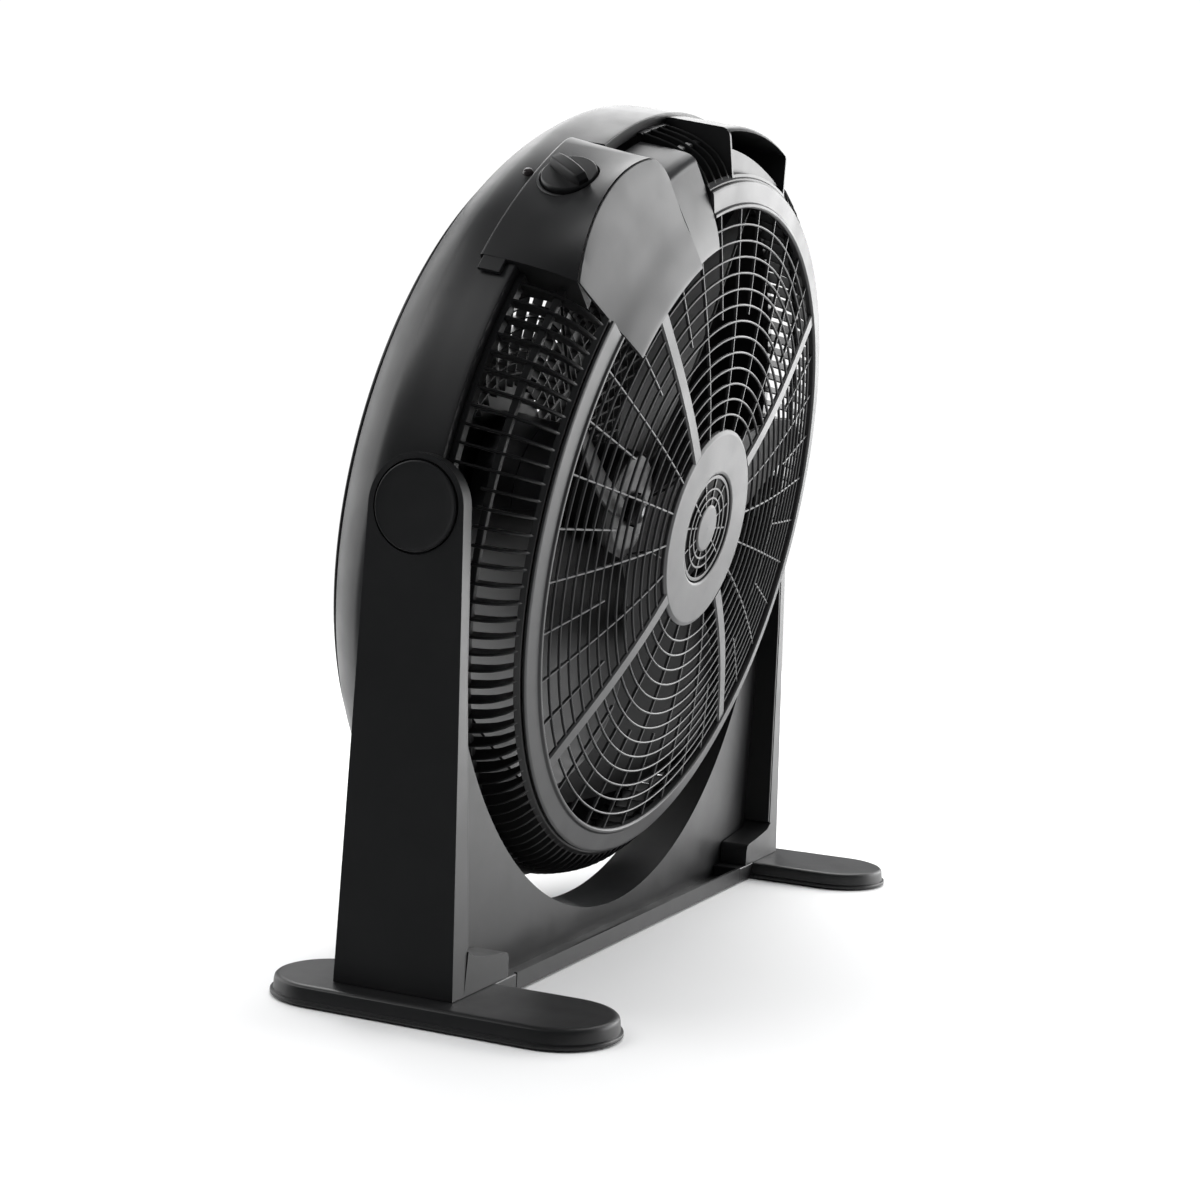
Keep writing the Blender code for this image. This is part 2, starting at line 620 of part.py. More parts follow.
def make_rear_grille():
    grille = tube("rear_grille", REAR_RING_IN, REAR_RING_R, RING_REAR - 0.0030, RING_REAR - GAP,
                  BLACK, fan_frame, 36)
    pieces = [rod("rear_plate", REAR_PLATE_R, (0, 0, REAR_PLATE_Z - 0.0030), (0, 0, REAR_PLATE_Z),
                  None, fan_frame, 20)]
    radii = [REAR_PLATE_R + (REAR_RING_IN - REAR_PLATE_R) * (i + 1) / 3 for i in range(2)]
    for i, r in enumerate(radii):
        pieces.append(wire(f"rear_wire_{i}", r, rear_dome(r), 0.0011))
    stations = (REAR_PLATE_R - 0.002, 0.15, REAR_RING_IN + 0.0015)
    for i in range(8):
        pieces.append(spoke(f"rear_spoke_{i}", 45 * i, rear_dome, stations, 0.0012, 0.0024))
    join(grille, *pieces)
    for i in range(3):
        spot = polar(0.0300, 90 + 120 * i)
        hole = rod(f"plate_hole_{i}", 0.0022, spot + Vector((0, 0, -0.10)), spot + Vector((0, 0, -0.08)),
                   None, fan_frame, 12)
        cut(grille, hole)
        screw(f"motor_screw_{i + 1}", spot + Vector((0, 0, REAR_PLATE_Z - 0.0033)), (0, 0, 1),
              0.0040, 0.0022, 0.0018, 0.0060, fan_frame)
    cut(grille, rod("gland_hole", 0.0058, (0, -0.0560, -0.10), (0, -0.0560, -0.08), None, fan_frame))
    for i in range(4):
        spot = polar(REAR_SCREW_R, 45 + 90 * i)
        low, high = spot + Vector((0, 0, -0.08)), spot + Vector((0, 0, -0.06))
        cut(grille, rod(f"rear_screw_hole_{i}", 0.0017, low, high, None, fan_frame, 10))
        screw(f"rear_grille_screw_{i + 1}", spot + Vector((0, 0, RING_REAR - 0.0033)), (0, 0, 1),
              0.0034, 0.0020, 0.0014, 0.0075, fan_frame)


def rear_dome(radius):
    share = (REAR_RING_IN - radius) / (REAR_RING_IN - REAR_PLATE_R)
    return RING_REAR - 0.0016 + (REAR_PLATE_Z - RING_REAR) * min(1.0, math.sin(share * math.pi / 2))


def make_cord_gland():
    """Grommet that the mains lead leaves through; the lead itself isn't modelled."""
    profile = [(0.0026, -0.1010), (0.0026, -0.0890), (0.0055, -0.0890), (0.0055, REAR_PLATE_Z - 0.0033),
               (0.0085, REAR_PLATE_Z - 0.0033), (0.0078, -0.0985), (0.0050, -0.1010)]
    gland = turned("cord_gland", profile, RUBBER, fan_frame, 14)
    gland.location = (0, -0.0560, 0)


def make_control_box():
    """Shell of the controls, open towards the front cover."""
    outer = [(BOX_FLOOR_R, BOX_REAR + 0.0040), (BOX_FLOOR_R, BOX_FRONT), (BOX_R, BOX_FRONT),
             (BOX_R, BOX_REAR + 0.0014), (BOX_R - 0.0014, BOX_REAR), (BOX_FLOOR_R + 0.0060, BOX_REAR)]
    shell = sector("control_box", outer, BOX_A0, BOX_A1, CHARCOAL, fan_frame)
    tab = [(RING_R + GAP, -0.0190), (RING_R + GAP, -0.0040), (BOX_R - 0.0004, -0.0040),
           (BOX_R - 0.0004, -0.0190)]
    latch = sector("box_latch", tab, BOX_A1 - 0.4, BOX_A1 + 2.2, None, fan_frame)
    join(shell, latch)
    spread = math.degrees(WALL / RING_R)
    inner = [(BOX_FLOOR_R + WALL, BOX_REAR + 0.0060), (BOX_FLOOR_R + WALL, 0.06), (BOX_R - WALL, 0.06),
             (BOX_R - WALL, BOX_REAR + WALL), (BOX_FLOOR_R + 0.0075, BOX_REAR + WALL)]
    cut(shell, sector("box_hollow", inner, BOX_A0 + spread, BOX_A1 - spread, None, fan_frame))
    join(shell, rod("knob_collar", COLLAR_R, (0, 0, -0.0030), (0, 0, 0.0008), None, knob_frame, 24))
    cut(
        shell,
        rod("knob_well", KNOB_R + 0.0010, (0, 0, -0.0012), (0, 0, 0.0100), None, knob_frame, 24),
        rod("knob_hole", 0.0040, (0, 0, -0.0100), (0, 0, 0.0100), None, knob_frame, 12),
    )


def cover_profile(points, thick):
    """Closes a front surface, given from its outer edge inwards, with a back at a constant depth."""
    return [*points, *[(r, z - thick) for r, z in reversed(points)]]


def make_front_cover():
    """The shield over the front of the controls, with its lower step on the right."""
    front = [(0.2732, 0.0402), (0.2715, 0.0430), (0.2550, 0.0475), (0.2434, 0.0513), (0.2300, 0.0563),
             (0.2158, 0.0640), (0.2030, 0.0690), (COVER_TIP_R, 0.0696)]
    main = cover_profile(front, 0.0030)
    cover = sector("front_cover", main, 120.4, BOX_A1, GRAPHITE, fan_frame)
    # the shoulder of the step: outside surface from the back to the front, then the same 2.6 mm inside
    outside = [(0.2590, 0.0060), (0.2585, 0.0300), (0.2575, 0.0420), (0.2545, 0.0465), (0.2480, 0.0510),
               (0.2400, 0.0545), (0.2260, 0.0605), (0.2120, 0.0656), (COVER_TIP_R, 0.0672)]
    inside = [(COVER_TIP_R, 0.0646), (0.2115, 0.0630), (0.2250, 0.0580), (0.2390, 0.0519),
              (0.2465, 0.0487), (0.2525, 0.0444), (0.2549, 0.0410), (0.2559, 0.0300), (0.2564, 0.0060)]
    step = sector("cover_step", outside + inside, STEP_A0, 121.0, None, fan_frame)
    join(cover, step)
    end = [(BOX_R, 0.0), (BOX_R, BOX_FRONT + GAP), (0.2500, BOX_FRONT + GAP), (0.2500, 0.0)]
    cut(cover, sector("cover_box_clear", end, 120.9, 150, None, fan_frame))


def make_handle():
    """Carry handle: a scoop at the top that opens to the front."""
    outer = [
        (HANDLE_FLOOR_R, 0.0028), (HANDLE_FLOOR_R, 0.0560), (0.2395, 0.0545),
        (HANDLE_R - 0.0040, HANDLE_FRONT), (HANDLE_R, HANDLE_FRONT - 0.0030), (HANDLE_R, 0.0028),
    ]
    scoop = sector("carry_handle", outer, HANDLE_A0, HANDLE_A1, CHARCOAL, fan_frame)
    spread = math.degrees(WALL / HANDLE_R)
    inner = [(0.2392, 0.0056), (0.2392, 0.0700), (HANDLE_R - 0.0026, 0.0700), (HANDLE_R - 0.0026, 0.0056)]
    cut(scoop, sector("handle_hollow", inner, HANDLE_A0 + spread, HANDLE_A1 - spread, None, fan_frame))


# ---------------------------------------------------------------- head: controls
def make_controls():
    knob = rod("speed_knob", KNOB_R, (0, 0, -0.0009), (0, 0, 0.0045), BLACK, knob_frame, 24)
    grip = block("knob_grip", (-0.0145, -0.0042, 0.0040), (0.0145, 0.0042, 0.0110), None, knob_frame)
    grip.data.transform(Matrix.Rotation(math.radians(-29), 4, "Z"))
    soften = grip.modifiers.new("edge", "BEVEL")
    soften.width = 0.0014
    soften.segments = 2
    join(knob, grip)
    cut(knob, rod("knob_socket", 0.0030 + GAP, (0, 0, -0.0020), (0, 0, 0.0030), None, knob_frame, 12))
    rod("switch_shaft", 0.0030, (0, 0, -0.0070), (0, 0, 0.0027), STEEL, knob_frame, 12)
    body = block("rotary_switch", (-0.0120, -0.0120, -0.0220), (0.0120, 0.0120, -0.0060), BLACK, knob_frame)
    cut(body, rod("switch_bore", 0.0030 + GAP, (0, 0, -0.0075), (0, 0, 0.0), None, knob_frame, 12))
    capacitor = block(
        "run_capacitor", (-0.0150, -0.0090, -0.0100), (0.0150, 0.0090, 0.0100), ALUMINIUM, fan_frame,
    )
    capacitor.rotation_euler = (0, 0, math.radians(142.5 + 90))
    capacitor.location = polar(0.2560, 142.5, 0.0080)
    soften = capacitor.modifiers.new("edge", "BEVEL")
    soften.width = 0.0015
    soften.segments = 2
    lamp = rod("pilot_lamp", 0.0036, (0, 0, 0), (0, 0, 0.0030), LENS, fan_frame, 16, 0.0024)
    lamp.location = polar(RING_R + GAP, KNOB_DEG, -0.0262)
    lamp.rotation_euler = knob_frame.rotation_euler


# ---------------------------------------------------------------- head: motor and blades
def make_motor():
    rear = [
        (0.0060, -0.0925), (0.0060, -0.0900), (0.0113, -0.0900), (0.0113, -0.0840), (0.0135, -0.0840),
        (0.0135, -0.0900), (MOTOR_R - 0.0020, -0.0880), (MOTOR_R - 0.0020, -0.0560), (MOTOR_R, -0.0560),
        (MOTOR_R, -0.0890), (MOTOR_R - 0.0035, -0.0925),
    ]
    case = turned("motor_rear_housing", rear, ALUMINIUM, fan_frame, 20)
    for i in range(3):
        spot = polar(0.0300, 90 + 120 * i)
        low, high = spot + Vector((0, 0, -0.10)), spot + Vector((0, 0, -0.085))
        cut(case, rod(f"motor_hole_{i}", 0.0021, low, high, None, fan_frame, 12))
    front = [
        (MOTOR_R, -0.0557), (MOTOR_R - 0.0020, -0.0557), (MOTOR_R - 0.0020, -0.0320), (0.0135, -0.0295),
        (0.0135, -0.0355), (0.0113, -0.0355), (0.0113, -0.0295), (0.0060, -0.0295), (0.0060, -0.0270),
        (MOTOR_R - 0.0060, -0.0270), (MOTOR_R, -0.0310),
    ]
    turned("motor_front_housing", front, ALUMINIUM, fan_frame, 20)
    tube("stator", 0.0225, MOTOR_R - 0.0025, -0.0760, -0.0420, COPPER, fan_frame, 20)
    tube("rear_bearing", BORE_R, 0.0110, -0.0897, -0.0842, STEEL, fan_frame, 16)
    tube("front_bearing", BORE_R, 0.0110, -0.0353, -0.0298, STEEL, fan_frame, 16)
    tube("rotor_core", BORE_R, 0.0218, -0.0750, -0.0430, STEEL, fan_frame, 16)
    rod("rotor_shaft", SHAFT_R, (0, 0, -0.0915), (0, 0, 0.0240), STEEL, fan_frame, 20)


def blade_point(share_r, share_c):
    """A point on a blade: share_r runs from root to tip, share_c across the chord."""
    r = HUB_R - 0.0012 + (BLADE_TIP_R - HUB_R + 0.0012) * share_r
    chord = 0.056 + 0.170 * math.sin(share_r * math.pi / 2)
    pitch = math.radians(44 - 20 * share_r)
    s = share_c - 0.5
    camber = 0.008 * (1 - 4 * s * s) * share_r
    sweep = math.radians(14) * share_r**2
    angle = s * chord * math.cos(pitch) / max(r, 0.055) - sweep + math.radians(BLADE_DEG)
    z = 0.0045 + s * chord * math.sin(pitch) - camber
    return Vector((r * math.cos(angle), r * math.sin(angle), z))


def make_blade_body(index):
    """One twisted blade: a grid of points, given thickness by Solidify."""
    rows, columns = 3, 3
    bm = bmesh.new()
    grid = [[bm.verts.new(blade_point(i / rows, j / columns)) for j in range(columns + 1)]
            for i in range(rows + 1)]
    for i in range(rows):
        for j in range(columns):
            bm.faces.new((grid[i][j], grid[i + 1][j], grid[i + 1][j + 1], grid[i][j + 1]))
    bmesh.ops.rotate(bm, cent=(0, 0, 0), matrix=Matrix.Rotation(2 * math.pi * index / BLADES, 3, "Z"),
                     verts=bm.verts)
    o = place(f"blade_{index}", mesh_from(bm, f"blade_{index}"), None, fan_frame)
    skin = o.modifiers.new("thickness", "SOLIDIFY")
    skin.thickness = 0.0020
    skin.offset = 0
    return o


def make_impeller():
    hub = [
        (BORE_R, -0.0100), (BORE_R, 0.0150), (0.0300, 0.0150), (0.0370, 0.0130), (HUB_R, 0.0080),
        (HUB_R, -0.0240), (HUB_R - 0.0024, -0.0240), (HUB_R - 0.0024, 0.0060), (0.0350, 0.0110),
        (0.0110, 0.0120), (0.0090, -0.0100),
    ]
    impeller = turned("impeller", hub, BLACK, fan_frame, 24)
    join(impeller, *[make_blade_body(i) for i in range(BLADES)])
    nut = [(BORE_R, 0.0153), (0.0100, 0.0153), (0.0100, 0.0200), (0.0070, 0.0245), (BORE_R, 0.0255)]
    turned("spinner_nut", nut, BLACK, fan_frame, 20)


# ---------------------------------------------------------------- build
for side_sign, side_word in ((-1, "left"), (1, "right")):
    make_foot(side_sign, side_word)
    make_post(side_sign, side_word)
    make_pivot_block(side_sign, side_word)
make_cradle()
make_housing_ring()
make_side_cage()
make_front_grille()
make_hub_insert()
make_rear_grille()
make_cord_gland()
make_control_box()
make_front_cover()
make_handle()
make_controls()
make_motor()
make_impeller()
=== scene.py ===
"""Looks for the round floor fan: detailed pieces, materials, floor, light and camera.

Everything on the head is modelled in the fan frame: x across, y up the face, z
along the fan axis towards the front, with its origin on the tilt axis.  The
stand is modelled in world axes about the same origin, with heights from the floor.
"""
import json
import math

import bmesh
import bpy
import numpy as np
from mathutils import Matrix, Vector


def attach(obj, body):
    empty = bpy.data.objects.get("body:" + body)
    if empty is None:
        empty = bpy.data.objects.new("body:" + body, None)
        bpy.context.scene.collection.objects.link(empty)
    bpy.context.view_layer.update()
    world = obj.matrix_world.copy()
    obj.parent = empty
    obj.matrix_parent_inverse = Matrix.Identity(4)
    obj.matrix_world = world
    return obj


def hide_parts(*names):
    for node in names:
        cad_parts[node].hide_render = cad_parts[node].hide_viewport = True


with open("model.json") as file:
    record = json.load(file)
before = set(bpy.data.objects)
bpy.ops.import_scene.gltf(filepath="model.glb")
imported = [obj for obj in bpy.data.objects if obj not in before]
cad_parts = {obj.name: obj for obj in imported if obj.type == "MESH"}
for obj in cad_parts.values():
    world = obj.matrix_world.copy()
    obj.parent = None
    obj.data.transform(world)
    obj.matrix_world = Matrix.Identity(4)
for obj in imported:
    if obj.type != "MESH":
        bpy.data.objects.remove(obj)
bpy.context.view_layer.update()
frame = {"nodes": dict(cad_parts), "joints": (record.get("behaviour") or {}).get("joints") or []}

joints = {j["name"]: j for j in frame["joints"]}
PIVOT = Vector(joints["head_tilt"]["pos_m"])
AXIS = Vector(joints["fan_spin"]["axis"]).normalized()
KNOB = Vector(joints["knob_turn"]["pos_m"])
KNOB_AXIS = Vector(joints["knob_turn"]["axis"]).normalized()


def frame_matrix(origin, x, y, z):
    m = Matrix((x, y, z)).transposed().to_4x4()
    m.translation = origin
    return m


ACROSS = Vector((1, 0, 0))
FAN = frame_matrix(PIVOT, ACROSS, AXIS.cross(ACROSS), AXIS)
STAND = Matrix.Translation((0, PIVOT.y, 0))
BACKWARD = AXIS * -1
KNOB_FRAME = frame_matrix(KNOB, BACKWARD, KNOB_AXIS.cross(BACKWARD), KNOB_AXIS)

# radii and z in the fan frame; angles in degrees, counter-clockwise seen from the front
PIVOT_Z = PIVOT.z
BOX_R = 0.2740
BOX_A0, BOX_A1 = 121.3, 147.0
STEP_A0 = 112.0                         # the cover's lower step runs from here up to the controls
LAMP_DEG = 131.5
HANDLE_A0, HANDLE_A1 = 77.5, 102.5
HANDLE_R, HANDLE_WALL = 0.2685, 0.0024
WEB_A0, WEB_A1 = 79.0, 102.2            # the web across the front of the handle's scoop
RIM_IN, RIM_OUT = 0.2175, 0.2350
HUB_IN, HUB_OUT = 0.0385, 0.0692
HUMP_DEG, HUMP_R = 133.5, 0.2822        # the crest of the controls' front edge
ROLL = 0.0135                           # how far in the upper end of the controls rolls over
FACE_START = (0.2550, 0.0472)           # radius and z where the cover's flat edge turns into its face
FACE_SLOPE = 0.34                       # how fast that edge falls back towards the seam
PIVOT_CLEAR = 0.0160                    # cage bars at the pivots start in front of this
TIP_R = 0.1990                          # where the cover and its step end, over the guard
PLATE_R = 0.0660                        # the motor plate in the rear grille
REAR_GRILLE_R = 0.2270

CAGE_BARS = 144
GUARD_WIRES, GUARD_SPOKES, SPOKES_PER_QUARTER = 13, 40, 10
RING_PITCH = (RIM_IN - HUB_OUT) / (GUARD_WIRES + 1)
SHORT_SPOKE_R = 0.1480                  # where the short spokes of the guard start
REAR_RINGS, REAR_BARS = 19, 108
BLADES = 5


# ---------------------------------------------------------------- materials
def plastic(name, colour, rough, spread=0.10, grain=0.12, grain_scale=1500, ior=1.47):
    """Moulded plastic: faint flow variation, a fine textured skin, and rubbed patches."""
    m = bpy.data.materials.new(name)
    m.use_nodes = True
    nodes, links = m.node_tree.nodes, m.node_tree.links
    shader = nodes["Principled BSDF"]
    shader.inputs["IOR"].default_value = ior
    where = nodes.new("ShaderNodeTexCoord")
    flow = nodes.new("ShaderNodeTexNoise")
    flow.inputs["Scale"].default_value = 9
    flow.inputs["Detail"].default_value = 3
    links.new(where.outputs["Object"], flow.inputs["Vector"])
    tone = nodes.new("ShaderNodeValToRGB")
    low = [c * (1 - spread) for c in colour]
    high = [c * (1 + spread) for c in colour]
    tone.color_ramp.elements[0].position = 0.35
    tone.color_ramp.elements[0].color = (*low, 1)
    tone.color_ramp.elements[1].position = 0.65
    tone.color_ramp.elements[1].color = (*high, 1)
    links.new(flow.outputs["Fac"], tone.inputs["Fac"])
    links.new(tone.outputs["Color"], shader.inputs["Base Color"])
    rub = nodes.new("ShaderNodeTexNoise")
    rub.inputs["Scale"].default_value = 32
    rub.inputs["Detail"].default_value = 5
    links.new(where.outputs["Object"], rub.inputs["Vector"])
    sheen = nodes.new("ShaderNodeMapRange")
    sheen.inputs["From Min"].default_value = 0.3
    sheen.inputs["From Max"].default_value = 0.7
    sheen.inputs["To Min"].default_value = rough - 0.04
    sheen.inputs["To Max"].default_value = rough + 0.05
    links.new(rub.outputs["Fac"], sheen.inputs["Value"])
    links.new(sheen.outputs["Result"], shader.inputs["Roughness"])
    skin = nodes.new("ShaderNodeTexNoise")
    skin.inputs["Scale"].default_value = grain_scale
    skin.inputs["Detail"].default_value = 2
    links.new(where.outputs["Object"], skin.inputs["Vector"])
    bump = nodes.new("ShaderNodeBump")
    bump.inputs["Strength"].default_value = grain
    bump.inputs["Distance"].default_value = 0.0002
    links.new(skin.outputs["Fac"], bump.inputs["Height"])
    links.new(bump.outputs["Normal"], shader.inputs["Normal"])
    return m


def metal(name, colour, rough, stretch=(1, 1, 1), scale=400):
    """Bare or plated metal with fine tool marks."""
    m = bpy.data.materials.new(name)
    m.use_nodes = True
    nodes, links = m.node_tree.nodes, m.node_tree.links
    shader = nodes["Principled BSDF"]
    shader.inputs["Metallic"].default_value = 1.0
    where = nodes.new("ShaderNodeTexCoord")
    squeeze = nodes.new("ShaderNodeMapping")
    squeeze.inputs["Scale"].default_value = stretch
    links.new(where.outputs["Object"], squeeze.inputs["Vector"])
    marks = nodes.new("ShaderNodeTexNoise")
    marks.inputs["Scale"].default_value = scale
    marks.inputs["Detail"].default_value = 4
    links.new(squeeze.outputs["Vector"], marks.inputs["Vector"])
    tone = nodes.new("ShaderNodeValToRGB")
    tone.color_ramp.elements[0].color = (*[c * 0.8 for c in colour], 1)
    tone.color_ramp.elements[1].color = (*colour, 1)
    links.new(marks.outputs["Fac"], tone.inputs["Fac"])
    links.new(tone.outputs["Color"], shader.inputs["Base Color"])
    spread = nodes.new("ShaderNodeMapRange")
    spread.inputs["To Min"].default_value = rough - 0.08
    spread.inputs["To Max"].default_value = rough + 0.08
    links.new(marks.outputs["Fac"], spread.inputs["Value"])
    links.new(spread.outputs["Result"], shader.inputs["Roughness"])
    return m


CHARCOAL = plastic("charcoal_plastic", (0.010, 0.010, 0.0105), 0.40)
GRAPHITE = plastic("graphite_plastic", (0.026, 0.026, 0.027), 0.40)
BLACK = plastic("black_plastic", (0.006, 0.006, 0.0063), 0.42)
RUBBER = plastic("black_rubber", (0.012, 0.012, 0.012), 0.85, grain=0.3, grain_scale=900)
LAMP = plastic("lamp_lens", (0.020, 0.016, 0.016), 0.18, grain=0.02)
STEEL = metal("zinc_steel", (0.45, 0.45, 0.46), 0.35)
# cast alloy darkened well below bare aluminium: painted shade for the motor parts that sit deep inside the
# head
ALLOY_SHADE_DARKENED = metal("cast_alloy_shade_darkened", (0.10, 0.10, 0.105), 0.55, scale=700)
LAMINATE = metal("laminated_steel", (0.30, 0.30, 0.31), 0.4, stretch=(1, 8, 1))
COPPER = metal("enamelled_copper", (0.55, 0.26, 0.12), 0.35, stretch=(1, 6, 1), scale=500)


# ---------------------------------------------------------------- mesh helpers
def rounded(loop, radius, count=3):
    """A closed 2-D loop with each corner rounded by up to radius."""
    points = [np.array(p, float) for p in loop]
    result = []
    for before, here, after in zip(points[-1:] + points[:-1], points, points[1:] + points[:1]):
        back, ahead = before - here, after - here
        reach = min(radius, 0.45 * np.linalg.norm(back), 0.45 * np.linalg.norm(ahead))
        start = here + back / np.linalg.norm(back) * reach
        end = here + ahead / np.linalg.norm(ahead) * reach
        for i in range(count + 1):
            t = i / count
            result.append((1 - t) ** 2 * start + 2 * t * (1 - t) * here + t**2 * end)
    return np.array(result)


def smooth_line(points, per_span=6):
    """A Catmull-Rom line through 2-D points."""
    p = np.array([2 * np.array(points[0]) - points[1], *points, 2 * np.array(points[-1]) - points[-2]])
    line = []
    for i in range(1, len(p) - 2):
        a, b, c, d = p[i - 1], p[i], p[i + 1], p[i + 2]
        for k in range(per_span):
            t = k / per_span
            line.append(0.5 * (2 * b + (c - a) * t + (2 * a - 5 * b + 4 * c - d) * t**2
                               + (3 * b - a - 3 * c + d) * t**3))
    line.append(p[-2])
    return np.array(line)


def loft(sections, closed=False):
    """A skin through sections of equal length (n, k, 3), each a closed loop, with capped ends."""
    sections = np.asarray(sections, float)
    n, k, _ = sections.shape
    faces = []
    for i in range(n if closed else n - 1):
        a, b = i * k, ((i + 1) % n) * k
        for j in range(k):
            q = (j + 1) % k
            faces.append((a + j, a + q, b + q, b + j))
    if not closed:
        faces.append(tuple(range(k))[::-1])
        faces.append(tuple((n - 1) * k + j for j in range(k)))
    return sections.reshape(-1, 3), faces


def swept(profile, a0=0.0, a1=360.0, steps=180):
    """A closed (radius, z) loop swept about z; a full turn closes on itself."""
    profile = np.asarray(profile, float)
    full = abs(a1 - a0) > 359.99
    angles = np.radians(np.linspace(a0, a1, steps + (0 if full else 1), endpoint=not full))
    r, z = profile[:, 0], profile[:, 1]
    sections = [np.stack([r * math.cos(a), r * math.sin(a), z], axis=1) for a in angles]
    return loft(sections, closed=full)


def turned_about(shape, degrees):
    verts, faces = shape
    a = math.radians(degrees)
    turn = np.array([[math.cos(a), -math.sin(a), 0], [math.sin(a), math.cos(a), 0], [0, 0, 1]])
    return verts @ turn.T, faces


def stacked(outline, levels):
    """An outline lofted through levels of (height, inset), for feet and plates."""
    sections = []
    for height, inset in levels:
        ring = inset_loop(outline, inset)
        sections.append(np.column_stack([ring, np.full(len(ring), height)]))
    return loft(sections)


def inset_loop(loop, amount):
    """Moves each point of a smooth, counter-clockwise loop inwards along its normal."""
    loop = np.asarray(loop, float)
    run = np.roll(loop, -1, axis=0) - np.roll(loop, 1, axis=0)
    run /= np.linalg.norm(run, axis=1)[:, None]
    return loop + amount * np.column_stack([-run[:, 1], run[:, 0]])


def arc(cx, cy, radius, a0, a1, count):
    angles = np.radians(np.linspace(a0, a1, count + 1))
    return [(cx + radius * math.cos(a), cy + radius * math.sin(a)) for a in angles]


def pushed(outline, plane, low, high):
    """A flat outline in XY, XZ or YZ, given depth from low to high."""
    order = {"XY": (0, 1, 2), "XZ": (0, 2, 1), "YZ": (1, 2, 0)}[plane]
    sections = []
    for depth in (low, high):
        flat = np.zeros((len(outline), 3))
        flat[:, order[0]] = [p[0] for p in outline]
        flat[:, order[1]] = [p[1] for p in outline]
        flat[:, order[2]] = depth
        sections.append(flat)
    return loft(sections)


def new_mesh(name, shapes):
    verts, faces, count = [], [], 0
    for v, f in shapes:
        verts.append(np.asarray(v, float))
        faces += [tuple(i + count for i in face) for face in f]
        count += len(v)
    mesh = bpy.data.meshes.new(name)
    mesh.from_pydata(np.concatenate(verts).tolist(), [], faces)
    bm = bmesh.new()
    bm.from_mesh(mesh)
    bmesh.ops.recalc_face_normals(bm, faces=bm.faces)
    bm.to_mesh(mesh)
    bm.free()
    return mesh


def solid(name, shapes, matrix):
    """An object in the scene, not yet a finished piece."""
    o = bpy.data.objects.new(name, new_mesh(name, shapes))
    o.matrix_world = matrix
    bpy.context.scene.collection.objects.link(o)
    return o


def bevelled(o, width, segments=2, degrees=35):
    mod = o.modifiers.new("edge", "BEVEL")
    mod.width = width
    mod.segments = segments
    mod.limit_method = "ANGLE"
    mod.angle_limit = math.radians(degrees)
    mod.miter_outer = "MITER_ARC"
    return o


def shaped(o, operation, *others):
    """Joins or cuts with other solids, which are used up."""
    for i, other in enumerate(others):
        mod = o.modifiers.new(f"{operation.lower()}_{i}", "BOOLEAN")
        mod.operation = operation
        mod.solver = "EXACT"
        mod.object = other
    settle(o)
    for other in others:
        bpy.data.objects.remove(other)
    return o


def settle(o):
    """Replaces the object's mesh by its modified one."""
    bpy.context.view_layer.update()
    final = bpy.data.meshes.new_from_object(o.evaluated_get(bpy.context.evaluated_depsgraph_get()))
    o.modifiers.clear()
    o.data = final


def finished(o, look, body, nodes, smooth=32):
    """Smooths, paints and hands over a piece that stands for CAD nodes."""
    if o.modifiers:
        settle(o)
    o.data.transform(o.matrix_world)
    o.matrix_world = Matrix()
    o.data.materials.clear()
    o.data.materials.append(look)
    o.data.shade_smooth()
    o.data.set_sharp_from_angle(angle=math.radians(smooth))
    o.modifiers.new("normals", "WEIGHTED_NORMAL").keep_sharp = True
    settle(o)
    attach(o, body)
    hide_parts(*nodes)
    return o


def piece(name, shapes, look, body, nodes, matrix=FAN, smooth=32, edge=0.0):
    o = solid(name, shapes, matrix)
    if edge:
        bevelled(o, edge)
    return finished(o, look, body, nodes, smooth)


# ---------------------------------------------------------------- stand
POST_OUT = 0.2860
POST_IN_BASE, POST_IN_TOP, POST_SLOPE_TOP = 0.2640, 0.2745, 0.2000
POST_FRONT, POST_REAR = -0.0410, 0.0390
FOOT_TOP = 0.0128
POST_BASE = FOOT_TOP + 0.0003
COVER_T = 0.0022
WEB_FRONT, CRADLE_BACK = -0.0183, 0.0200
ARCH_R, ARCH_Z = 0.2770, 0.2960
TAB_IN = 0.2000
POST_TOP_R, CAP_GROOVE_R, CAP_R = 0.0314, 0.0279, 0.0268


def inner_face(z):
    share = min(1.0, max(0.0, (z - POST_BASE) / (POST_SLOPE_TOP - POST_BASE)))
    return POST_IN_BASE + (POST_IN_TOP - POST_IN_BASE) * share


def post_outline(inset=0.0, count=40):
    top = arc(0, PIVOT_Z, POST_TOP_R - inset, 0, 180, count)
    base = POST_BASE + inset
    return [*top, (POST_FRONT + inset, base), (POST_REAR - inset, base)]


def slope_slab(name, side, offset, far):
    high = PIVOT_Z + 0.05
    outline = [
        (far, -0.01), (inner_face(0) + offset, -0.01), (inner_face(0) + offset, POST_BASE),
        (POST_IN_TOP + offset, POST_SLOPE_TOP), (POST_IN_TOP + offset, high), (far, high),
    ]
    return solid(name, [pushed([(side * x, z) for x, z in outline], "XZ", -0.06, 0.06)], STAND)


def disc(radius, x0, x1, side, count=72):
    """A round plug along x on the tilt axis."""
    outline = arc(0, PIVOT_Z, radius, 0, 360 * (1 - 1 / count), count - 1)
    return pushed(outline, "YZ", *sorted((side * x0, side * x1)))


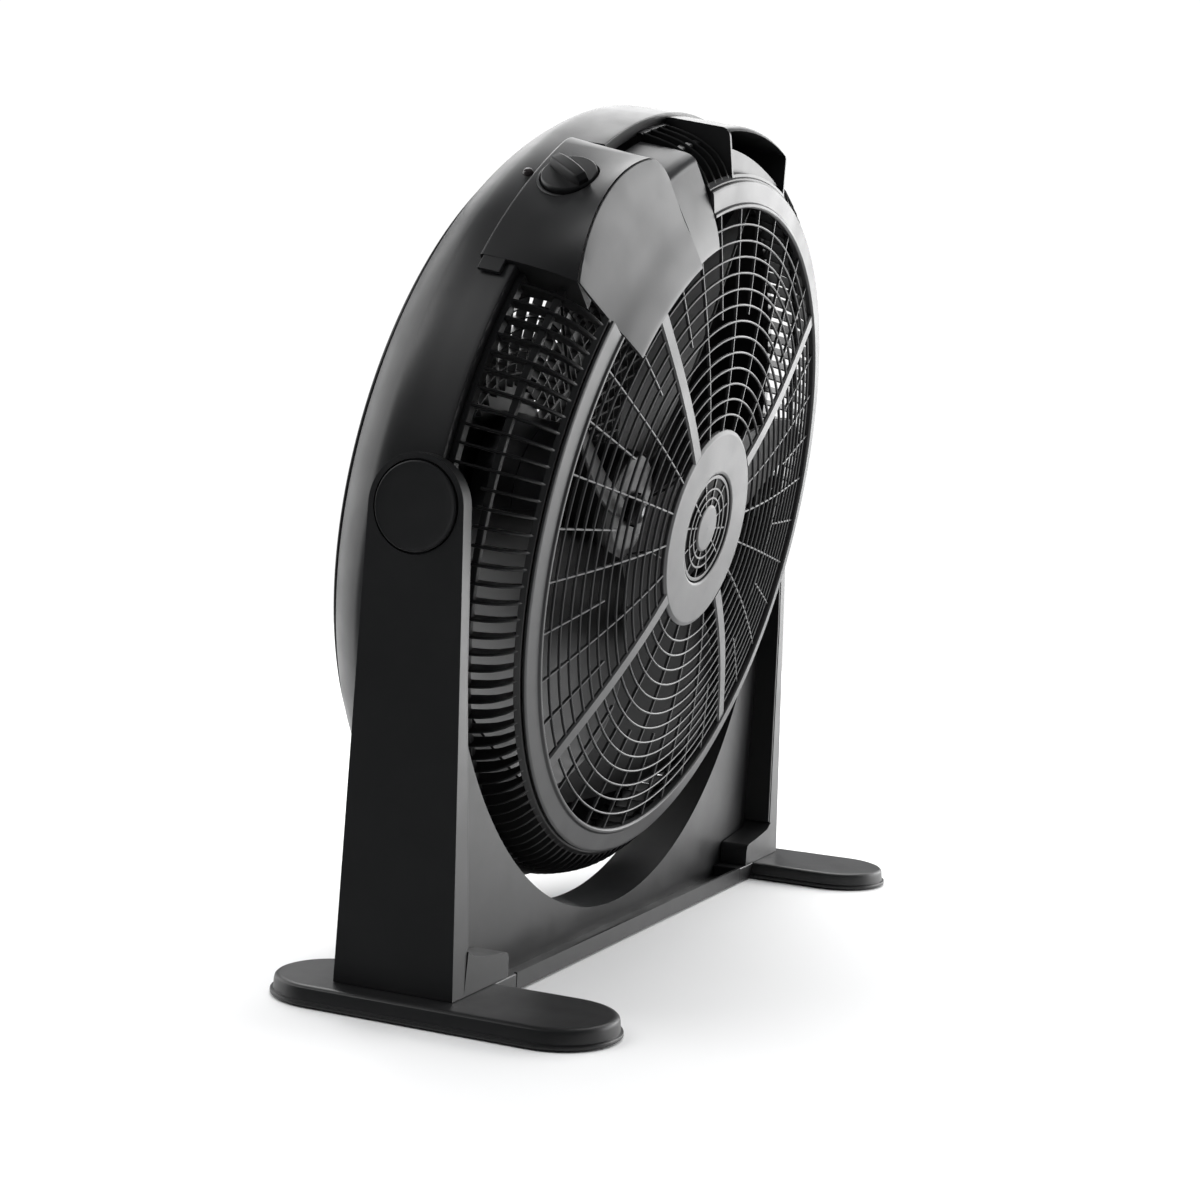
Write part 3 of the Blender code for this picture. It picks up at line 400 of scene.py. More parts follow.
def make_post(side, word):
    low, high = sorted((side * 0.2500, side * POST_OUT))
    shell = solid(f"{word}_post", [pushed(post_outline(), "YZ", low, high)], STAND)
    shaped(shell, "DIFFERENCE", slope_slab("slope", side, COVER_T + 0.0003, 0.2400))
    gusset = [
        (POST_IN_BASE - 0.0005, POST_BASE), (0.2130, POST_BASE), (0.2130, 0.0245),
        *arc(0.2190, 0.0235, 0.0060, 170, 110, 8), (0.2330, 0.0310), (0.2480, 0.0330),
        (0.2600, 0.0350), (inner_face(0.0395) + COVER_T + 0.0006, 0.0395),
        (inner_face(0.0395) + COVER_T + 0.0040, POST_BASE),
    ]
    wing = solid("wing", [pushed([(side * x, z) for x, z in gusset], "XZ", POST_FRONT, -0.0195)], STAND)
    shaped(shell, "UNION", wing)
    groove = solid("groove", [disc(CAP_GROOVE_R, POST_OUT - 0.0025, 0.2950, side)], STAND)
    shaped(shell, "DIFFERENCE", groove)
    bevelled(shell, 0.0011, 3, 40)
    finished(shell, CHARCOAL, "stand", [f"{word}_post_shell"], 40)

    low, high = sorted((side * 0.2500, side * 0.2850))
    cover = solid(f"{word}_inner_cover", [pushed(post_outline(0.0004), "YZ", low, high)], STAND)
    shaped(cover, "DIFFERENCE", slope_slab("inside", side, 0.0, 0.2400))
    shaped(cover, "INTERSECT", slope_slab("outside", side, COVER_T, 0.2400))
    notch = pushed([(-0.0510, 0.0), (-0.0192, 0.0), (-0.0192, 0.0400), (-0.0510, 0.0400)], "YZ",
                   *sorted((side * 0.2500, side * 0.2900)))
    shaped(cover, "DIFFERENCE", solid("notch", [notch], STAND))
    bevelled(cover, 0.0006, 2, 40)
    finished(cover, BLACK, "stand", [f"{word}_post_cover"], 40)

    # a shallow crown with a rolled edge: (inset in millimetres, x)
    levels = [(0.0, 0.2862 - 0.0024), (0.2, 0.2866), (0.9, 0.2873), (2.0, 0.2872), (3.2, 0.28685),
              (8.0, 0.28675), (26.0, 0.2867)]
    rings = []
    for inset, x in levels:
        ring = np.array(arc(0, PIVOT_Z, CAP_R - inset / 1000, 0, 355, 71))
        rings.append(np.column_stack([np.full(72, side * x), ring]))
    piece(f"{word}_pivot_cap", [loft(rings)], CHARCOAL, "stand", [f"{word}_pivot_cap"], STAND, 30)


def stadium(x, half, front, rear, count=28):
    loop = arc(x, front + half, half, 180, 360, count) + arc(x, rear - half, half, 0, 180, count)
    dense = []
    for a, b in zip(loop, loop[1:] + loop[:1]):
        steps = max(1, int(math.dist(a, b) / 0.012))
        run, rise = b[0] - a[0], b[1] - a[1]
        dense += [(a[0] + run * i / steps, a[1] + rise * i / steps) for i in range(steps)]
    return dense


def make_foot(side, word):
    """A flat foot: a wider lip round the bottom, and a crowned top edge."""
    outline = stadium(side * 0.2660, 0.0400, -0.1380, 0.0880)
    levels = [(0.0012, 0.0012), (0.0013, 0.0004), (0.0018, 0.0), (0.0030, 0.0), (0.0036, 0.0003),
              (0.0038, 0.0012), (0.0041, 0.0018), (0.0095, 0.0022), (0.0113, 0.0027), (0.0122, 0.0036),
              (0.0127, 0.0050), (FOOT_TOP, 0.0070)]
    x0, x1 = sorted((side * TAB_IN, side * 0.2360))
    tab = pushed([(x0, POST_FRONT), (x1, POST_FRONT), (x1, WEB_FRONT - 0.0006), (x0, WEB_FRONT - 0.0006)],
                 "XY", 0.0015, FOOT_TOP - 0.0002)
    foot = solid(f"{word}_foot", [stacked(outline, levels)], STAND)
    shaped(foot, "UNION", bevelled(solid("tab", [tab], STAND), 0.0011, 3))
    finished(foot, CHARCOAL, "stand", [f"{word}_foot"], 28)
    for name, y in (("front", -0.0980), ("rear", 0.0480)):
        spot = np.array([side * 0.2660, y, 0])
        profile = rounded([(0.0, 0.0), (0.0089, 0.0), (0.0089, 0.0024), (0.0, 0.0024)], 0.0006)
        profile[:, 0] = np.maximum(profile[:, 0], 0.0001)
        verts, faces = swept(profile, steps=40)
        piece(f"{word}_{name}_pad", [(verts + spot, faces)], RUBBER, "stand", [f"{word}_{name}_pad"], STAND)


def make_cradle():
    """The panel between the posts: web, arch edge, side edges, floor tray, lip and ribs."""
    sides = [(z, inner_face(z) - 0.0003) for z in (POST_BASE, POST_SLOPE_TOP, 0.2350)]
    start = math.degrees(math.asin((0.2350 - ARCH_Z) / ARCH_R))
    inner = arc(0, ARCH_Z, ARCH_R, start, -180 - start, 150)
    outline = [(-0.2250, POST_BASE), (-0.2250, 0.0015), (0.2250, 0.0015), (0.2250, POST_BASE)]
    outline += [(x, z) for z, x in sides]
    outline += inner
    outline += [(-x, z) for z, x in reversed(sides)]
    web = solid("cradle_panel_skin", [pushed(outline, "XZ", WEB_FRONT, WEB_FRONT + 0.0025)], STAND)
    band = [*inner, *arc(0, ARCH_Z, ARCH_R + 0.0022, -180 - start, start, 150)]
    extras = [solid("arch", [pushed(band, "XZ", WEB_FRONT, CRADLE_BACK)], STAND)]
    for side in (-1, 1):
        edge = [(x, z) for z, x in sides[:2]] + [(inner_face(0.2250) - 0.0003, 0.2250)]
        edge += [(x - 0.0022, z) for x, z in reversed(edge)]
        flange = pushed([(side * x, z) for x, z in edge], "XZ", WEB_FRONT, CRADLE_BACK)
        extras.append(solid("side", [flange], STAND))
    width = TAB_IN - 0.0003
    for y0, y1, z0, z1 in (
        (POST_FRONT + 0.0004, CRADLE_BACK, 0.0021, 0.0041),
        (POST_FRONT, POST_FRONT + 0.0022, 0.0018, 0.0130),
    ):
        strip = pushed([(y0, z0), (y1, z0), (y1, z1), (y0, z1)], "YZ", -width, width)
        extras.append(solid("tray", [strip], STAND))
    for x in (-0.1700, -0.0900, 0.0, 0.0900, 0.1700):
        top = ARCH_Z - math.sqrt(ARCH_R**2 - x * x) - 0.0010
        rib = [(WEB_FRONT + 0.0015, 0.0025), (CRADLE_BACK - 0.0010, 0.0025), (CRADLE_BACK - 0.0010, top),
               (WEB_FRONT + 0.0015, top)]
        extras.append(solid("rib", [pushed(rib, "YZ", x - 0.0010, x + 0.0010)], STAND))
    shaped(web, "UNION", *extras)
    bevelled(web, 0.0006, 2, 40)
    finished(web, CHARCOAL, "stand", ["cradle_panel"], 40)


# ---------------------------------------------------------------- head: rings and guards
def make_housing_ring():
    outer = smooth_line([(0.2707, 0.0012), (0.2701, -0.0180), (0.2693, -0.0356), (0.2662, -0.0445),
                         (0.2590, -0.0555), (0.2500, -0.0652), (0.2425, -0.0706), (0.2352, -0.0725)], 6)
    lip = [(0.2275, -0.0725), (0.2262, -0.0718), (0.2262, -0.0706), (0.2275, -0.0700)]
    inner = smooth_line([(0.2352, -0.0700), (0.2410, -0.0684), (0.2480, -0.0634), (0.2570, -0.0540),
                         (0.2640, -0.0440), (0.2668, -0.0350), (0.2678, -0.0180), (0.2682, -0.0008)], 5)
    front = [(0.2620, -0.0004), (0.2620, 0.0020), (0.2626, 0.0024), (0.2698, 0.0024), (0.2705, 0.0020)]
    ring = solid("housing_ring_skin", [swept([*outer, *lip, *inner, *front], steps=240)], FAN)
    room = [(0.2382, -0.0223), (0.2382, 0.02), (0.30, 0.02), (0.30, -0.0223)]
    box = swept(room, BOX_A0 - 0.07, BOX_A1 + 0.07, 12)
    cutters = [solid("box_room", [box], FAN)]
    for side in (-1, 1):
        room = pushed([(-0.0163, -0.0283), (0.0163, -0.0283), (0.0163, 0.0143), (-0.0163, 0.0143)], "YZ",
                      *sorted((side * 0.2547, side * 0.2900)))
        cutters.append(solid("pivot_room", [room], FAN))
    shaped(ring, "DIFFERENCE", *cutters)
    finished(ring, CHARCOAL, "head", ["housing_ring"], 30)


def cage_open(angle):
    """Whether a cage bar can stand here: the handle and the controls take its place."""
    return not (HANDLE_A0 - 0.4 < angle < HANDLE_A1 + 0.4 or STEP_A0 - 0.4 < angle < BOX_A1 + 0.4)


# the cage's hoops leave room for the controls and the handle, and the rear one for the pivots too
AFTER_BOX, BEFORE_STEP = BOX_A1 + 0.3, STEP_A0 - 0.3
BEFORE_HANDLE, AFTER_HANDLE = HANDLE_A0 - 0.3, HANDLE_A1 + 0.3
REAR_SPANS = ((AFTER_BOX, 176.4), (183.6, 356.4), (3.6, BEFORE_HANDLE), (AFTER_HANDLE, BEFORE_STEP))
MIDDLE_SPANS = ((AFTER_BOX, 360 + BEFORE_HANDLE), (AFTER_HANDLE, BEFORE_STEP))


def make_side_cage():
    stations = np.linspace(0, 1, 10)
    line = smooth_line([(0.2645, 0.0032), (0.2630, 0.0160), (0.2600, 0.0290), (0.2535, 0.0425),
                        (0.2460, 0.0500), (0.2366, 0.0553)], 4)
    pick = [line[int(round(t * (len(line) - 1)))] for t in stations]
    shapes = []
    half_top, half_foot, depth = 0.00095, 0.0006, 0.0095
    for i in range(CAGE_BARS):
        angle = (i + 0.5) * 360 / CAGE_BARS
        if not cage_open(angle % 360):
            continue
        at_pivot = abs(math.sin(math.radians(angle))) < 0.072
        sections = []
        for r, z in [p for p in pick if p[1] > PIVOT_CLEAR or not at_pivot]:
            inner = max(r - depth, 0.2300)
            sections.append([
                (r - 0.0002, -half_top * 0.6, z), (r, 0, z + 0.0002), (r - 0.0002, half_top * 0.6, z),
                (r - 0.0009, half_top, z), (inner, half_foot, z), (inner, -half_foot, z),
                (r - 0.0009, -half_top, z),
            ])
        shapes.append(turned_about(loft(sections), angle))
    rear = rounded([(0.2570, 0.0028), (0.2643, 0.0028), (0.2640, 0.0068), (0.2570, 0.0068)], 0.0006)
    middle = rounded([(0.2535, 0.0282), (0.2583, 0.0282), (0.2572, 0.0322), (0.2530, 0.0322)], 0.0006)
    front = rounded([(0.2290, 0.0532), (0.2290, 0.0564), (0.2362, 0.0564), (0.2392, 0.0532)], 0.0006)
    for profile, spans in ((rear, REAR_SPANS), (middle, MIDDLE_SPANS)):
        for a0, a1 in spans:
            shapes.append(swept(profile, a0, a1, max(4, int(a1 - a0))))
    shapes.append(swept(front, AFTER_BOX, 360 + BEFORE_STEP, 240))
    piece("side_cage_bars", shapes, BLACK, "head", ["side_cage"], smooth=40)


def dome(radius):
    share = (RIM_IN - radius) / (RIM_IN - HUB_OUT)
    return 0.0590 + 0.0130 * math.sin(min(1.0, max(0.0, share)) * math.pi / 2)


def wire_bar(angle, r0, r1, half, thick, count=10, lift=0.0):
    """A radial bar that follows the dome, flat on top with rounded shoulders."""
    sections = []
    for r in np.linspace(r0, r1, count):
        z = dome(r) + lift
        soft = min(half, thick) * 0.45
        sections.append([(r, -half, z - thick / 2), (r, -half, z + thick / 2 - soft),
                         (r, -half + soft, z + thick / 2), (r, half - soft, z + thick / 2),
                         (r, half, z + thick / 2 - soft), (r, half, z - thick / 2)])
    return turned_about(loft(sections), angle)


def make_front_grille():
    rim = rounded([(RIM_OUT, 0.0570), (RIM_OUT, 0.0586), (0.2332, 0.0593), (0.2215, 0.0606),
                   (0.2203, 0.0621), (0.2186, 0.0623), (RIM_IN, 0.0608), (RIM_IN, 0.0570)], 0.0005)
    shapes = [swept(rim, AFTER_BOX, 360 + BEFORE_STEP, 260)]
    hub = rounded([(HUB_IN, 0.0700), (HUB_IN, 0.0731), (0.0400, 0.0738), (0.0665, 0.0738),
                   (HUB_OUT, 0.0724), (HUB_OUT, 0.0700)], 0.0006)
    shapes.append(swept(hub, steps=120))
    for i in range(GUARD_WIRES):
        r = HUB_OUT + RING_PITCH * (i + 1)
        z = dome(r)
        a = np.linspace(0, 2 * math.pi, 8, endpoint=False)
        profile = np.column_stack([r + 0.00085 * np.cos(a), z + 0.0011 * np.sin(a)])
        shapes.append(swept(profile, steps=144))
    for i in range(GUARD_SPOKES):
        angle = i * 360 / GUARD_SPOKES
        place = i % SPOKES_PER_QUARTER
        if place == SPOKES_PER_QUARTER // 2:
            shapes.append(wire_bar(angle, HUB_OUT - 0.002, RIM_IN + 0.002, 0.0055, 0.0026, lift=0.0006))
        else:
            start = SHORT_SPOKE_R if place % 2 == 0 else HUB_OUT - 0.002
            shapes.append(wire_bar(angle, start, RIM_IN + 0.001, 0.0007, 0.0020, lift=-0.0004))
    piece("front_guard", shapes, GRAPHITE, "head", ["front_grille"], smooth=40)


def make_hub_insert():
    plate = rounded([(0.0001, 0.0702), (0.0165, 0.0702), (0.0165, 0.0722), (0.0150, 0.0730),
                     (0.0001, 0.0734)], 0.0005)
    shapes = [swept(plate, steps=60)]
    for r0, r1 in ((0.0205, 0.0220), (0.0270, 0.0285), (0.0350, 0.0375)):
        ring = rounded([(r0, 0.0703), (r0, 0.0724), (r1, 0.0724), (r1, 0.0703)], 0.0004)
        shapes.append(swept(ring, steps=60))
    for i in range(12):
        half = 0.0006
        outline = [(0.0160, -half), (0.0356, -half), (0.0356, half), (0.0160, half)]
        bar = pushed(outline, "XY", 0.0705, 0.0720)
        shapes.append(turned_about(bar, 30 * i))
    piece("hub_insert_detail", shapes, GRAPHITE, "head", ["hub_insert"])


def rear_dome(radius):
    share = (REAR_GRILLE_R - radius) / (REAR_GRILLE_R - PLATE_R)
    return -0.0741 - 0.0205 * math.sin(min(1.0, max(0.0, share)) * math.pi / 2)


def make_rear_grille():
    rim = rounded([(0.2258, -0.0728), (0.2393, -0.0728), (0.2393, -0.0745), (0.2380, -0.0756),
                   (0.2258, -0.0756)], 0.0005)
    plate = rounded([(0.0001, -0.0960), (0.0600, -0.0960), (PLATE_R, -0.0948), (PLATE_R, -0.0930),
                     (0.0001, -0.0930)], 0.0008)
    shapes = [swept(rim, steps=200), swept(plate, steps=80)]
    pitch = (REAR_GRILLE_R - PLATE_R) / (REAR_RINGS + 1)
    for i in range(REAR_RINGS):
        r = PLATE_R + pitch * (i + 1)
        z = rear_dome(r)
        shapes.append(swept([(r - 0.0008, z - 0.0012), (r - 0.0006, z + 0.0060), (r + 0.0006, z + 0.0060),
                             (r + 0.0008, z - 0.0012)], steps=120))
    for i in range(REAR_BARS):
        inner = PLATE_R - 0.002 if i % 3 == 0 else PLATE_R + pitch * 8
        half = 0.0014 if i % 12 == 0 else 0.0008
        sections = []
        for r in [*np.linspace(inner, 0.2235, 8), 0.2255, 0.2280]:
            z = rear_dome(r)
            front = z + (0.0060 if r < 0.2240 else 0.0013)
            back = z - 0.0014
            sections.append([(r, -half, back), (r, half, back), (r, half, front), (r, -half, front)])
        shapes.append(turned_about(loft(sections), i * 360 / REAR_BARS))
    piece("rear_guard", shapes, BLACK, "head", ["rear_grille"], smooth=40)


def make_gland():
    profile = rounded([(0.0026, -0.1010), (0.0026, -0.0890), (0.0055, -0.0890), (0.0055, -0.0963),
                       (0.0085, -0.0963), (0.0078, -0.0985), (0.0050, -0.1010)], 0.0005)
    verts, faces = swept(profile, steps=40)
    piece("cord_gland_ring", [(verts + np.array([0, -0.0560, 0]), faces)], RUBBER, "head", ["cord_gland"])


# ---------------------------------------------------------------- head: controls and handle
def hump(angle):
    """Outer radius of the controls along their front edge: a flat arc with its crest at HUMP_DEG."""
    return HUMP_R - 8.6e-5 * (angle - HUMP_DEG) ** 2


def seam_z(radius):
    """How far forwards the cover's flat edge stands at this radius."""
    return FACE_START[1] - FACE_SLOPE * (radius - FACE_START[0])


def skin_r(angle, share):
    """Radius of the controls' skin; share runs from its rear edge, 0, to its front edge, 1."""
    rolled = end_drop(angle) * (0.25 + 0.75 * share)
    return BOX_R - rolled + (hump(angle) - BOX_R) * share**2.5


def end_drop(angle):
    """How far the skin drops where it rolls over at the upper end."""
    along = math.radians(angle - BOX_A0) * BOX_R
    if along >= ROLL:
        return 0.0
    return ROLL - math.sqrt(max(0.0, ROLL**2 - (ROLL - along) ** 2))


def box_angles():
    end = BOX_A0 + math.degrees(ROLL / BOX_R)
    rolled = [BOX_A0 + (end - BOX_A0) * (1 - math.cos(math.pi * i / 30)) for i in range(15)]
    return [*rolled, *np.linspace(end, BOX_A1, 36)]


def make_control_box():
    sections = []
    for angle in box_angles():
        back = skin_r(angle, 0)
        z1 = seam_z(skin_r(angle, 1)) - 0.0014
        a = math.radians(angle)
        loop = [(0.2385, z1), (0.2385, -0.0180), (0.2440, -0.0220)]
        for k in range(6):
            turn = math.radians(90 * k / 5)
            loop.append((back - 0.0024 + 0.0024 * math.sin(turn), -0.0196 - 0.0024 * math.cos(turn)))
        for share in np.linspace(0.1, 1, 10):
            loop.append((skin_r(angle, share), -0.0196 + (z1 + 0.0196) * share))
        sections.append([(r * math.cos(a), r * math.sin(a), z) for r, z in loop])
    box = solid("control_box_skin", [loft(sections)], FAN)
    tongue = rounded([(0.2710, -0.0190), (0.2710, -0.0040), (0.2737, -0.0040), (0.2737, -0.0190)], 0.0006)
    latch = swept(tongue, BOX_A1 - 0.6, BOX_A1 + 2.0, 6)
    shaped(box, "UNION", solid("latch", [latch], FAN))
    collar = rounded([(0.0001, -0.0040), (0.0204, -0.0040), (0.0204, 0.0004), (0.0194, 0.0008),
                      (0.0001, 0.0008)], 0.0003)
    well = [(0.0001, -0.0015), (0.0188, -0.0015), (0.0188, 0.0100), (0.0001, 0.0100)]
    shaped(box, "UNION", solid("collar", [swept(collar, steps=64)], KNOB_FRAME))
    shaped(box, "DIFFERENCE", solid("well", [swept(well, steps=64)], KNOB_FRAME))
    bevelled(box, 0.0005, 2, 50)
    finished(box, CHARCOAL, "head", ["control_box"], 35)


def make_front_cover():
    """The shield over the controls: the main face, and the lower step at its right end."""
    face = [FACE_START, (0.2434, 0.0514), (0.2300, 0.0566), (0.2158, 0.0632), (0.2030, 0.0683),
            (TIP_R, 0.0694)]
    front = smooth_line(face, 6)
    thick = 0.0021
    back = [(r, z - thick) for r, z in (face[0], face[2], face[3], face[5])]
    shapes = []
    sections = []
    for angle in box_angles():
        a = math.radians(angle)
        edge = skin_r(angle, 1) - 0.0003
        brink = seam_z(edge)
        outside = np.array([(edge - 0.0004, brink - 0.0011), (edge, brink - 0.0008), (edge - 0.0006, brink),
                            (0.5 * (edge + FACE_START[0]), 0.5 * (brink + FACE_START[1])), *front])
        inside = np.array([(edge - thick, brink - 0.0011), *back])[::-1]
        loop = np.concatenate([outside, inside])
        sections.append([(r * math.cos(a), r * math.sin(a), z) for r, z in loop])
    shapes.append(loft(sections))
    outside = smooth_line([(0.2592, 0.0060), (0.2588, 0.0220), (0.2580, 0.0360), (0.2570, 0.0415),
                           (0.2546, 0.0452), (0.2508, 0.0473), (0.2431, 0.0510), (0.2345, 0.0548),
                           (0.2230, 0.0598), (0.2120, 0.0638), (0.2027, 0.0660), (TIP_R, 0.0664)], 4)
    inside = [(TIP_R, 0.0640), (0.2115, 0.0614), (0.2250, 0.0562), (0.2390, 0.0503), (0.2465, 0.0467),
              (0.2525, 0.0434), (0.2549, 0.0400), (0.2559, 0.0300), (0.2566, 0.0060)]
    profile = np.concatenate([outside, inside])
    shapes.append(swept(profile, STEP_A0, BOX_A0 - 0.1, 10))
    cover = solid("front_cover_shield", shapes, FAN)
    bevelled(cover, 0.0005, 2, 45)
    finished(cover, GRAPHITE, "head", ["front_cover"], 35)


def make_handle():
    outer = rounded([(0.2368, 0.0028), (0.2368, 0.0556), (0.2392, 0.0548), (0.2650, 0.0492),
                     (HANDLE_R, 0.0455), (HANDLE_R, 0.0028)], 0.0022, 5)
    scoop = solid("carry_handle_scoop", [swept(outer, HANDLE_A0, HANDLE_A1, 50)], FAN)
    spread = math.degrees(HANDLE_WALL / HANDLE_R)
    ramp = smooth_line([(0.2659, 0.0100), (0.2600, 0.0120), (0.2500, 0.0200), (0.2420, 0.0340),
                        (0.2392, 0.0500)], 4)
    inner = [*ramp, (0.2392, 0.0700), (0.2659, 0.0700)]
    hollow = swept(inner, HANDLE_A0 + spread, HANDLE_A1 - spread, 48)
    shaped(scoop, "DIFFERENCE", solid("hollow", [hollow], FAN))
    angles = np.linspace(WEB_A0, WEB_A1, 24)
    upper = [(a, 0.2436 + 0.0122 * ((a - WEB_A0) / 23.5) ** 1.5) for a in angles]
    lower = [(a, 0.2388) for a in angles[::-1]]
    web = [(r * math.cos(math.radians(a)), r * math.sin(math.radians(a))) for a, r in upper + lower]
    shaped(scoop, "UNION", solid("web", [pushed(web, "XY", 0.0478, 0.0500)], FAN))
    bevelled(scoop, 0.0007, 3, 45)
    finished(scoop, CHARCOAL, "head", ["carry_handle"], 35)


def make_knob():
    skirt = rounded([(0.0001, -0.0009), (0.0178, -0.0009), (0.0176, 0.0030), (0.0168, 0.0042),
                     (0.0001, 0.0046)], 0.0005)
    knob = solid("speed_knob_body", [swept(skirt, steps=64)], KNOB_FRAME)
    sections = []
    for t in np.linspace(-1, 1, 15):
        x = 0.0160 * t
        half = 0.0042 - 0.0012 * abs(t) ** 3
        top = 0.0108 - 0.0010 * t * t - 0.0030 * max(0.0, abs(t) - 0.85) / 0.15
        foot = half * 1.35
        loop = rounded([(-foot, 0.0036), (foot, 0.0036), (half, top), (-half, top)], 0.0012, 3)
        sections.append([(x, y, z) for y, z in loop])
    grip = turned_about(loft(sections), -29)
    shaped(knob, "UNION", solid("grip", [grip], KNOB_FRAME))
    bevelled(knob, 0.0005, 2, 50)
    finished(knob, BLACK, "knob", ["speed_knob"], 35)


def make_lamp():
    angle = math.radians(LAMP_DEG)
    radial = Vector((math.cos(angle), math.sin(angle), 0))
    base = FAN @ (radial * 0.2710 + Vector((0, 0, -0.0262)))
    out = (FAN.to_3x3() @ radial).normalized()
    matrix = frame_matrix(base, AXIS, out.cross(AXIS), out)
    lens = rounded([(0.0001, 0.0), (0.0036, 0.0), (0.0034, 0.0012), (0.0024, 0.0026),
                    (0.0001, 0.0030)], 0.0004)
    piece("pilot_lamp_lens", [swept(lens, steps=32)], LAMP, "head", ["pilot_lamp"], matrix)


# ---------------------------------------------------------------- head: motor and blades
def blade_point(share_r, share_c):
    root = 0.0388
    r = root + (0.2280 - root) * share_r
    chord = 0.056 + 0.170 * math.sin(share_r * math.pi / 2)
    pitch = math.radians(44 - 20 * share_r)
    s = share_c - 0.5
    camber = 0.008 * (1 - 4 * s * s) * share_r
    angle = s * chord * math.cos(pitch) / max(r, 0.055) + math.radians(4 - 14 * share_r**2)
    return (r * math.cos(angle), r * math.sin(angle), 0.0045 + s * chord * math.sin(pitch) - camber)


def make_impeller():
    rows, columns = 26, 18
    across = columns + 1
    grid = np.array([blade_point(i / rows, j / columns) for i in range(rows + 1) for j in range(across)])
    faces = []
    for i in range(rows):
        for j in range(columns):
            corner = i * across + j
            faces.append((corner, corner + across, corner + across + 1, corner + 1))
    turns = [turned_about((grid, faces), i * 360 / BLADES) for i in range(BLADES)]
    blades = solid("impeller_blades", turns, FAN)
    skin = blades.modifiers.new("thickness", "SOLIDIFY")
    skin.thickness = 0.0020
    skin.offset = 0
    bevelled(blades, 0.0005, 2, 60)
    finished(blades, BLACK, "rotor", ["impeller"], 50)
    hub = rounded([(0.0044, -0.0100), (0.0044, 0.0150), (0.0300, 0.0150), (0.0370, 0.0130),
                   (0.0400, 0.0080), (0.0400, -0.0240), (0.0376, -0.0240), (0.0376, 0.0060),
                   (0.0350, 0.0110), (0.0110, 0.0120), (0.0090, -0.0100)], 0.0010)
    piece("impeller_hub", [swept(hub, steps=80)], BLACK, "rotor", ["impeller"])
    nut = rounded([(0.0044, 0.0153), (0.0110, 0.0153), (0.0110, 0.0196), (0.0072, 0.0245),
                   (0.0044, 0.0255)], 0.0008)
    ribbed = [swept(nut, steps=48)]
    for i in range(8):
        outline = [(0.0080, -0.0008), (0.0122, -0.0008), (0.0122, 0.0008), (0.0080, 0.0008)]
        ribbed.append(turned_about(pushed(outline, "XY", 0.0156, 0.0200), 45 * i))
    piece("spinner_nut_ribbed", ribbed, BLACK, "rotor", ["spinner_nut"])


def make_motor_cases():
    rear = rounded([
        (0.0060, -0.0925), (0.0060, -0.0900), (0.0113, -0.0900), (0.0113, -0.0840), (0.0135, -0.0840),
        (0.0135, -0.0900), (0.0440, -0.0880), (0.0440, -0.0560), (0.0460, -0.0560), (0.0460, -0.0890),
        (0.0425, -0.0925)], 0.0008)
    front = rounded([
        (0.0460, -0.0557), (0.0440, -0.0557), (0.0440, -0.0320), (0.0135, -0.0295), (0.0135, -0.0355),
        (0.0113, -0.0355), (0.0113, -0.0295), (0.0060, -0.0295), (0.0060, -0.0270), (0.0400, -0.0270),
        (0.0460, -0.0310)], 0.0008)
    # the motor cases take the darkened alloy, whose dark tone is painted shade from inside the head
    piece("motor_rear_case", [swept(rear, steps=64)], ALLOY_SHADE_DARKENED, "head", ["motor_rear_housing"])
    piece("motor_front_case", [swept(front, steps=64)], ALLOY_SHADE_DARKENED, "head", ["motor_front_housing"])


for side_sign, side_word in ((-1, "left"), (1, "right")):
    make_post(side_sign, side_word)
    make_foot(side_sign, side_word)
make_cradle()
make_housing_ring()
make_side_cage()
make_front_grille()
make_hub_insert()
make_rear_grille()
make_gland()
make_control_box()
make_front_cover()
make_handle()
make_knob()
make_lamp()
make_impeller()
make_motor_cases()


# ---------------------------------------------------------------- the CAD nodes that stay
KEPT = {
    STEEL: ["left_foot_screw_front", "left_foot_screw_rear",
            "right_foot_screw_front", "right_foot_screw_rear",
            "left_cradle_screw", "right_cradle_screw", "left_pivot_bolt", "right_pivot_bolt",
            "rear_grille_screw_1", "rear_grille_screw_2", "rear_grille_screw_3", "rear_grille_screw_4",
            "motor_screw_1", "motor_screw_2", "motor_screw_3", "switch_shaft", "rotor_shaft",
            "rear_bearing", "front_bearing"],
    RUBBER: ["left_pivot_washer", "right_pivot_washer"],
    BLACK: ["left_pivot_block", "right_pivot_block", "rotary_switch"],
    ALLOY_SHADE_DARKENED: ["run_capacitor"],
    LAMINATE: ["rotor_core"],
    COPPER: ["stator"],
}
for look, names in KEPT.items():
    for name in names:
        mesh = frame["nodes"][name].data
        mesh.materials.clear()
        mesh.materials.append(look)


# ---------------------------------------------------------------- floor, light, camera
def floor_material():
    m = bpy.data.materials.new("studio_floor")
    m.use_nodes = True
    shader = m.node_tree.nodes["Principled BSDF"]
    shader.inputs["Base Color"].default_value = (0.93, 0.93, 0.93, 1)
    shader.inputs["Roughness"].default_value = 0.6
    shader.inputs["Specular IOR Level"].default_value = 0.2
    return m


def make_floor(name, x0, x1, look, reflected):
    mesh = bpy.data.meshes.new(name)
    mesh.from_pydata([(x0, -1.6, 0), (x1, -1.6, 0), (x1, 1.6, 0), (x0, 1.6, 0)], [], [(0, 1, 2, 3)])
    mesh.materials.append(look)
    o = bpy.data.objects.new(name, mesh)
    o.visible_glossy = reflected
    bpy.context.scene.collection.objects.link(o)


# the left part stays out of reflections, which keeps the left post dark
pale = floor_material()
make_floor("floor_left", -1.6, -0.32, pale, False)
make_floor("floor_right", -0.32, 1.8, pale, True)


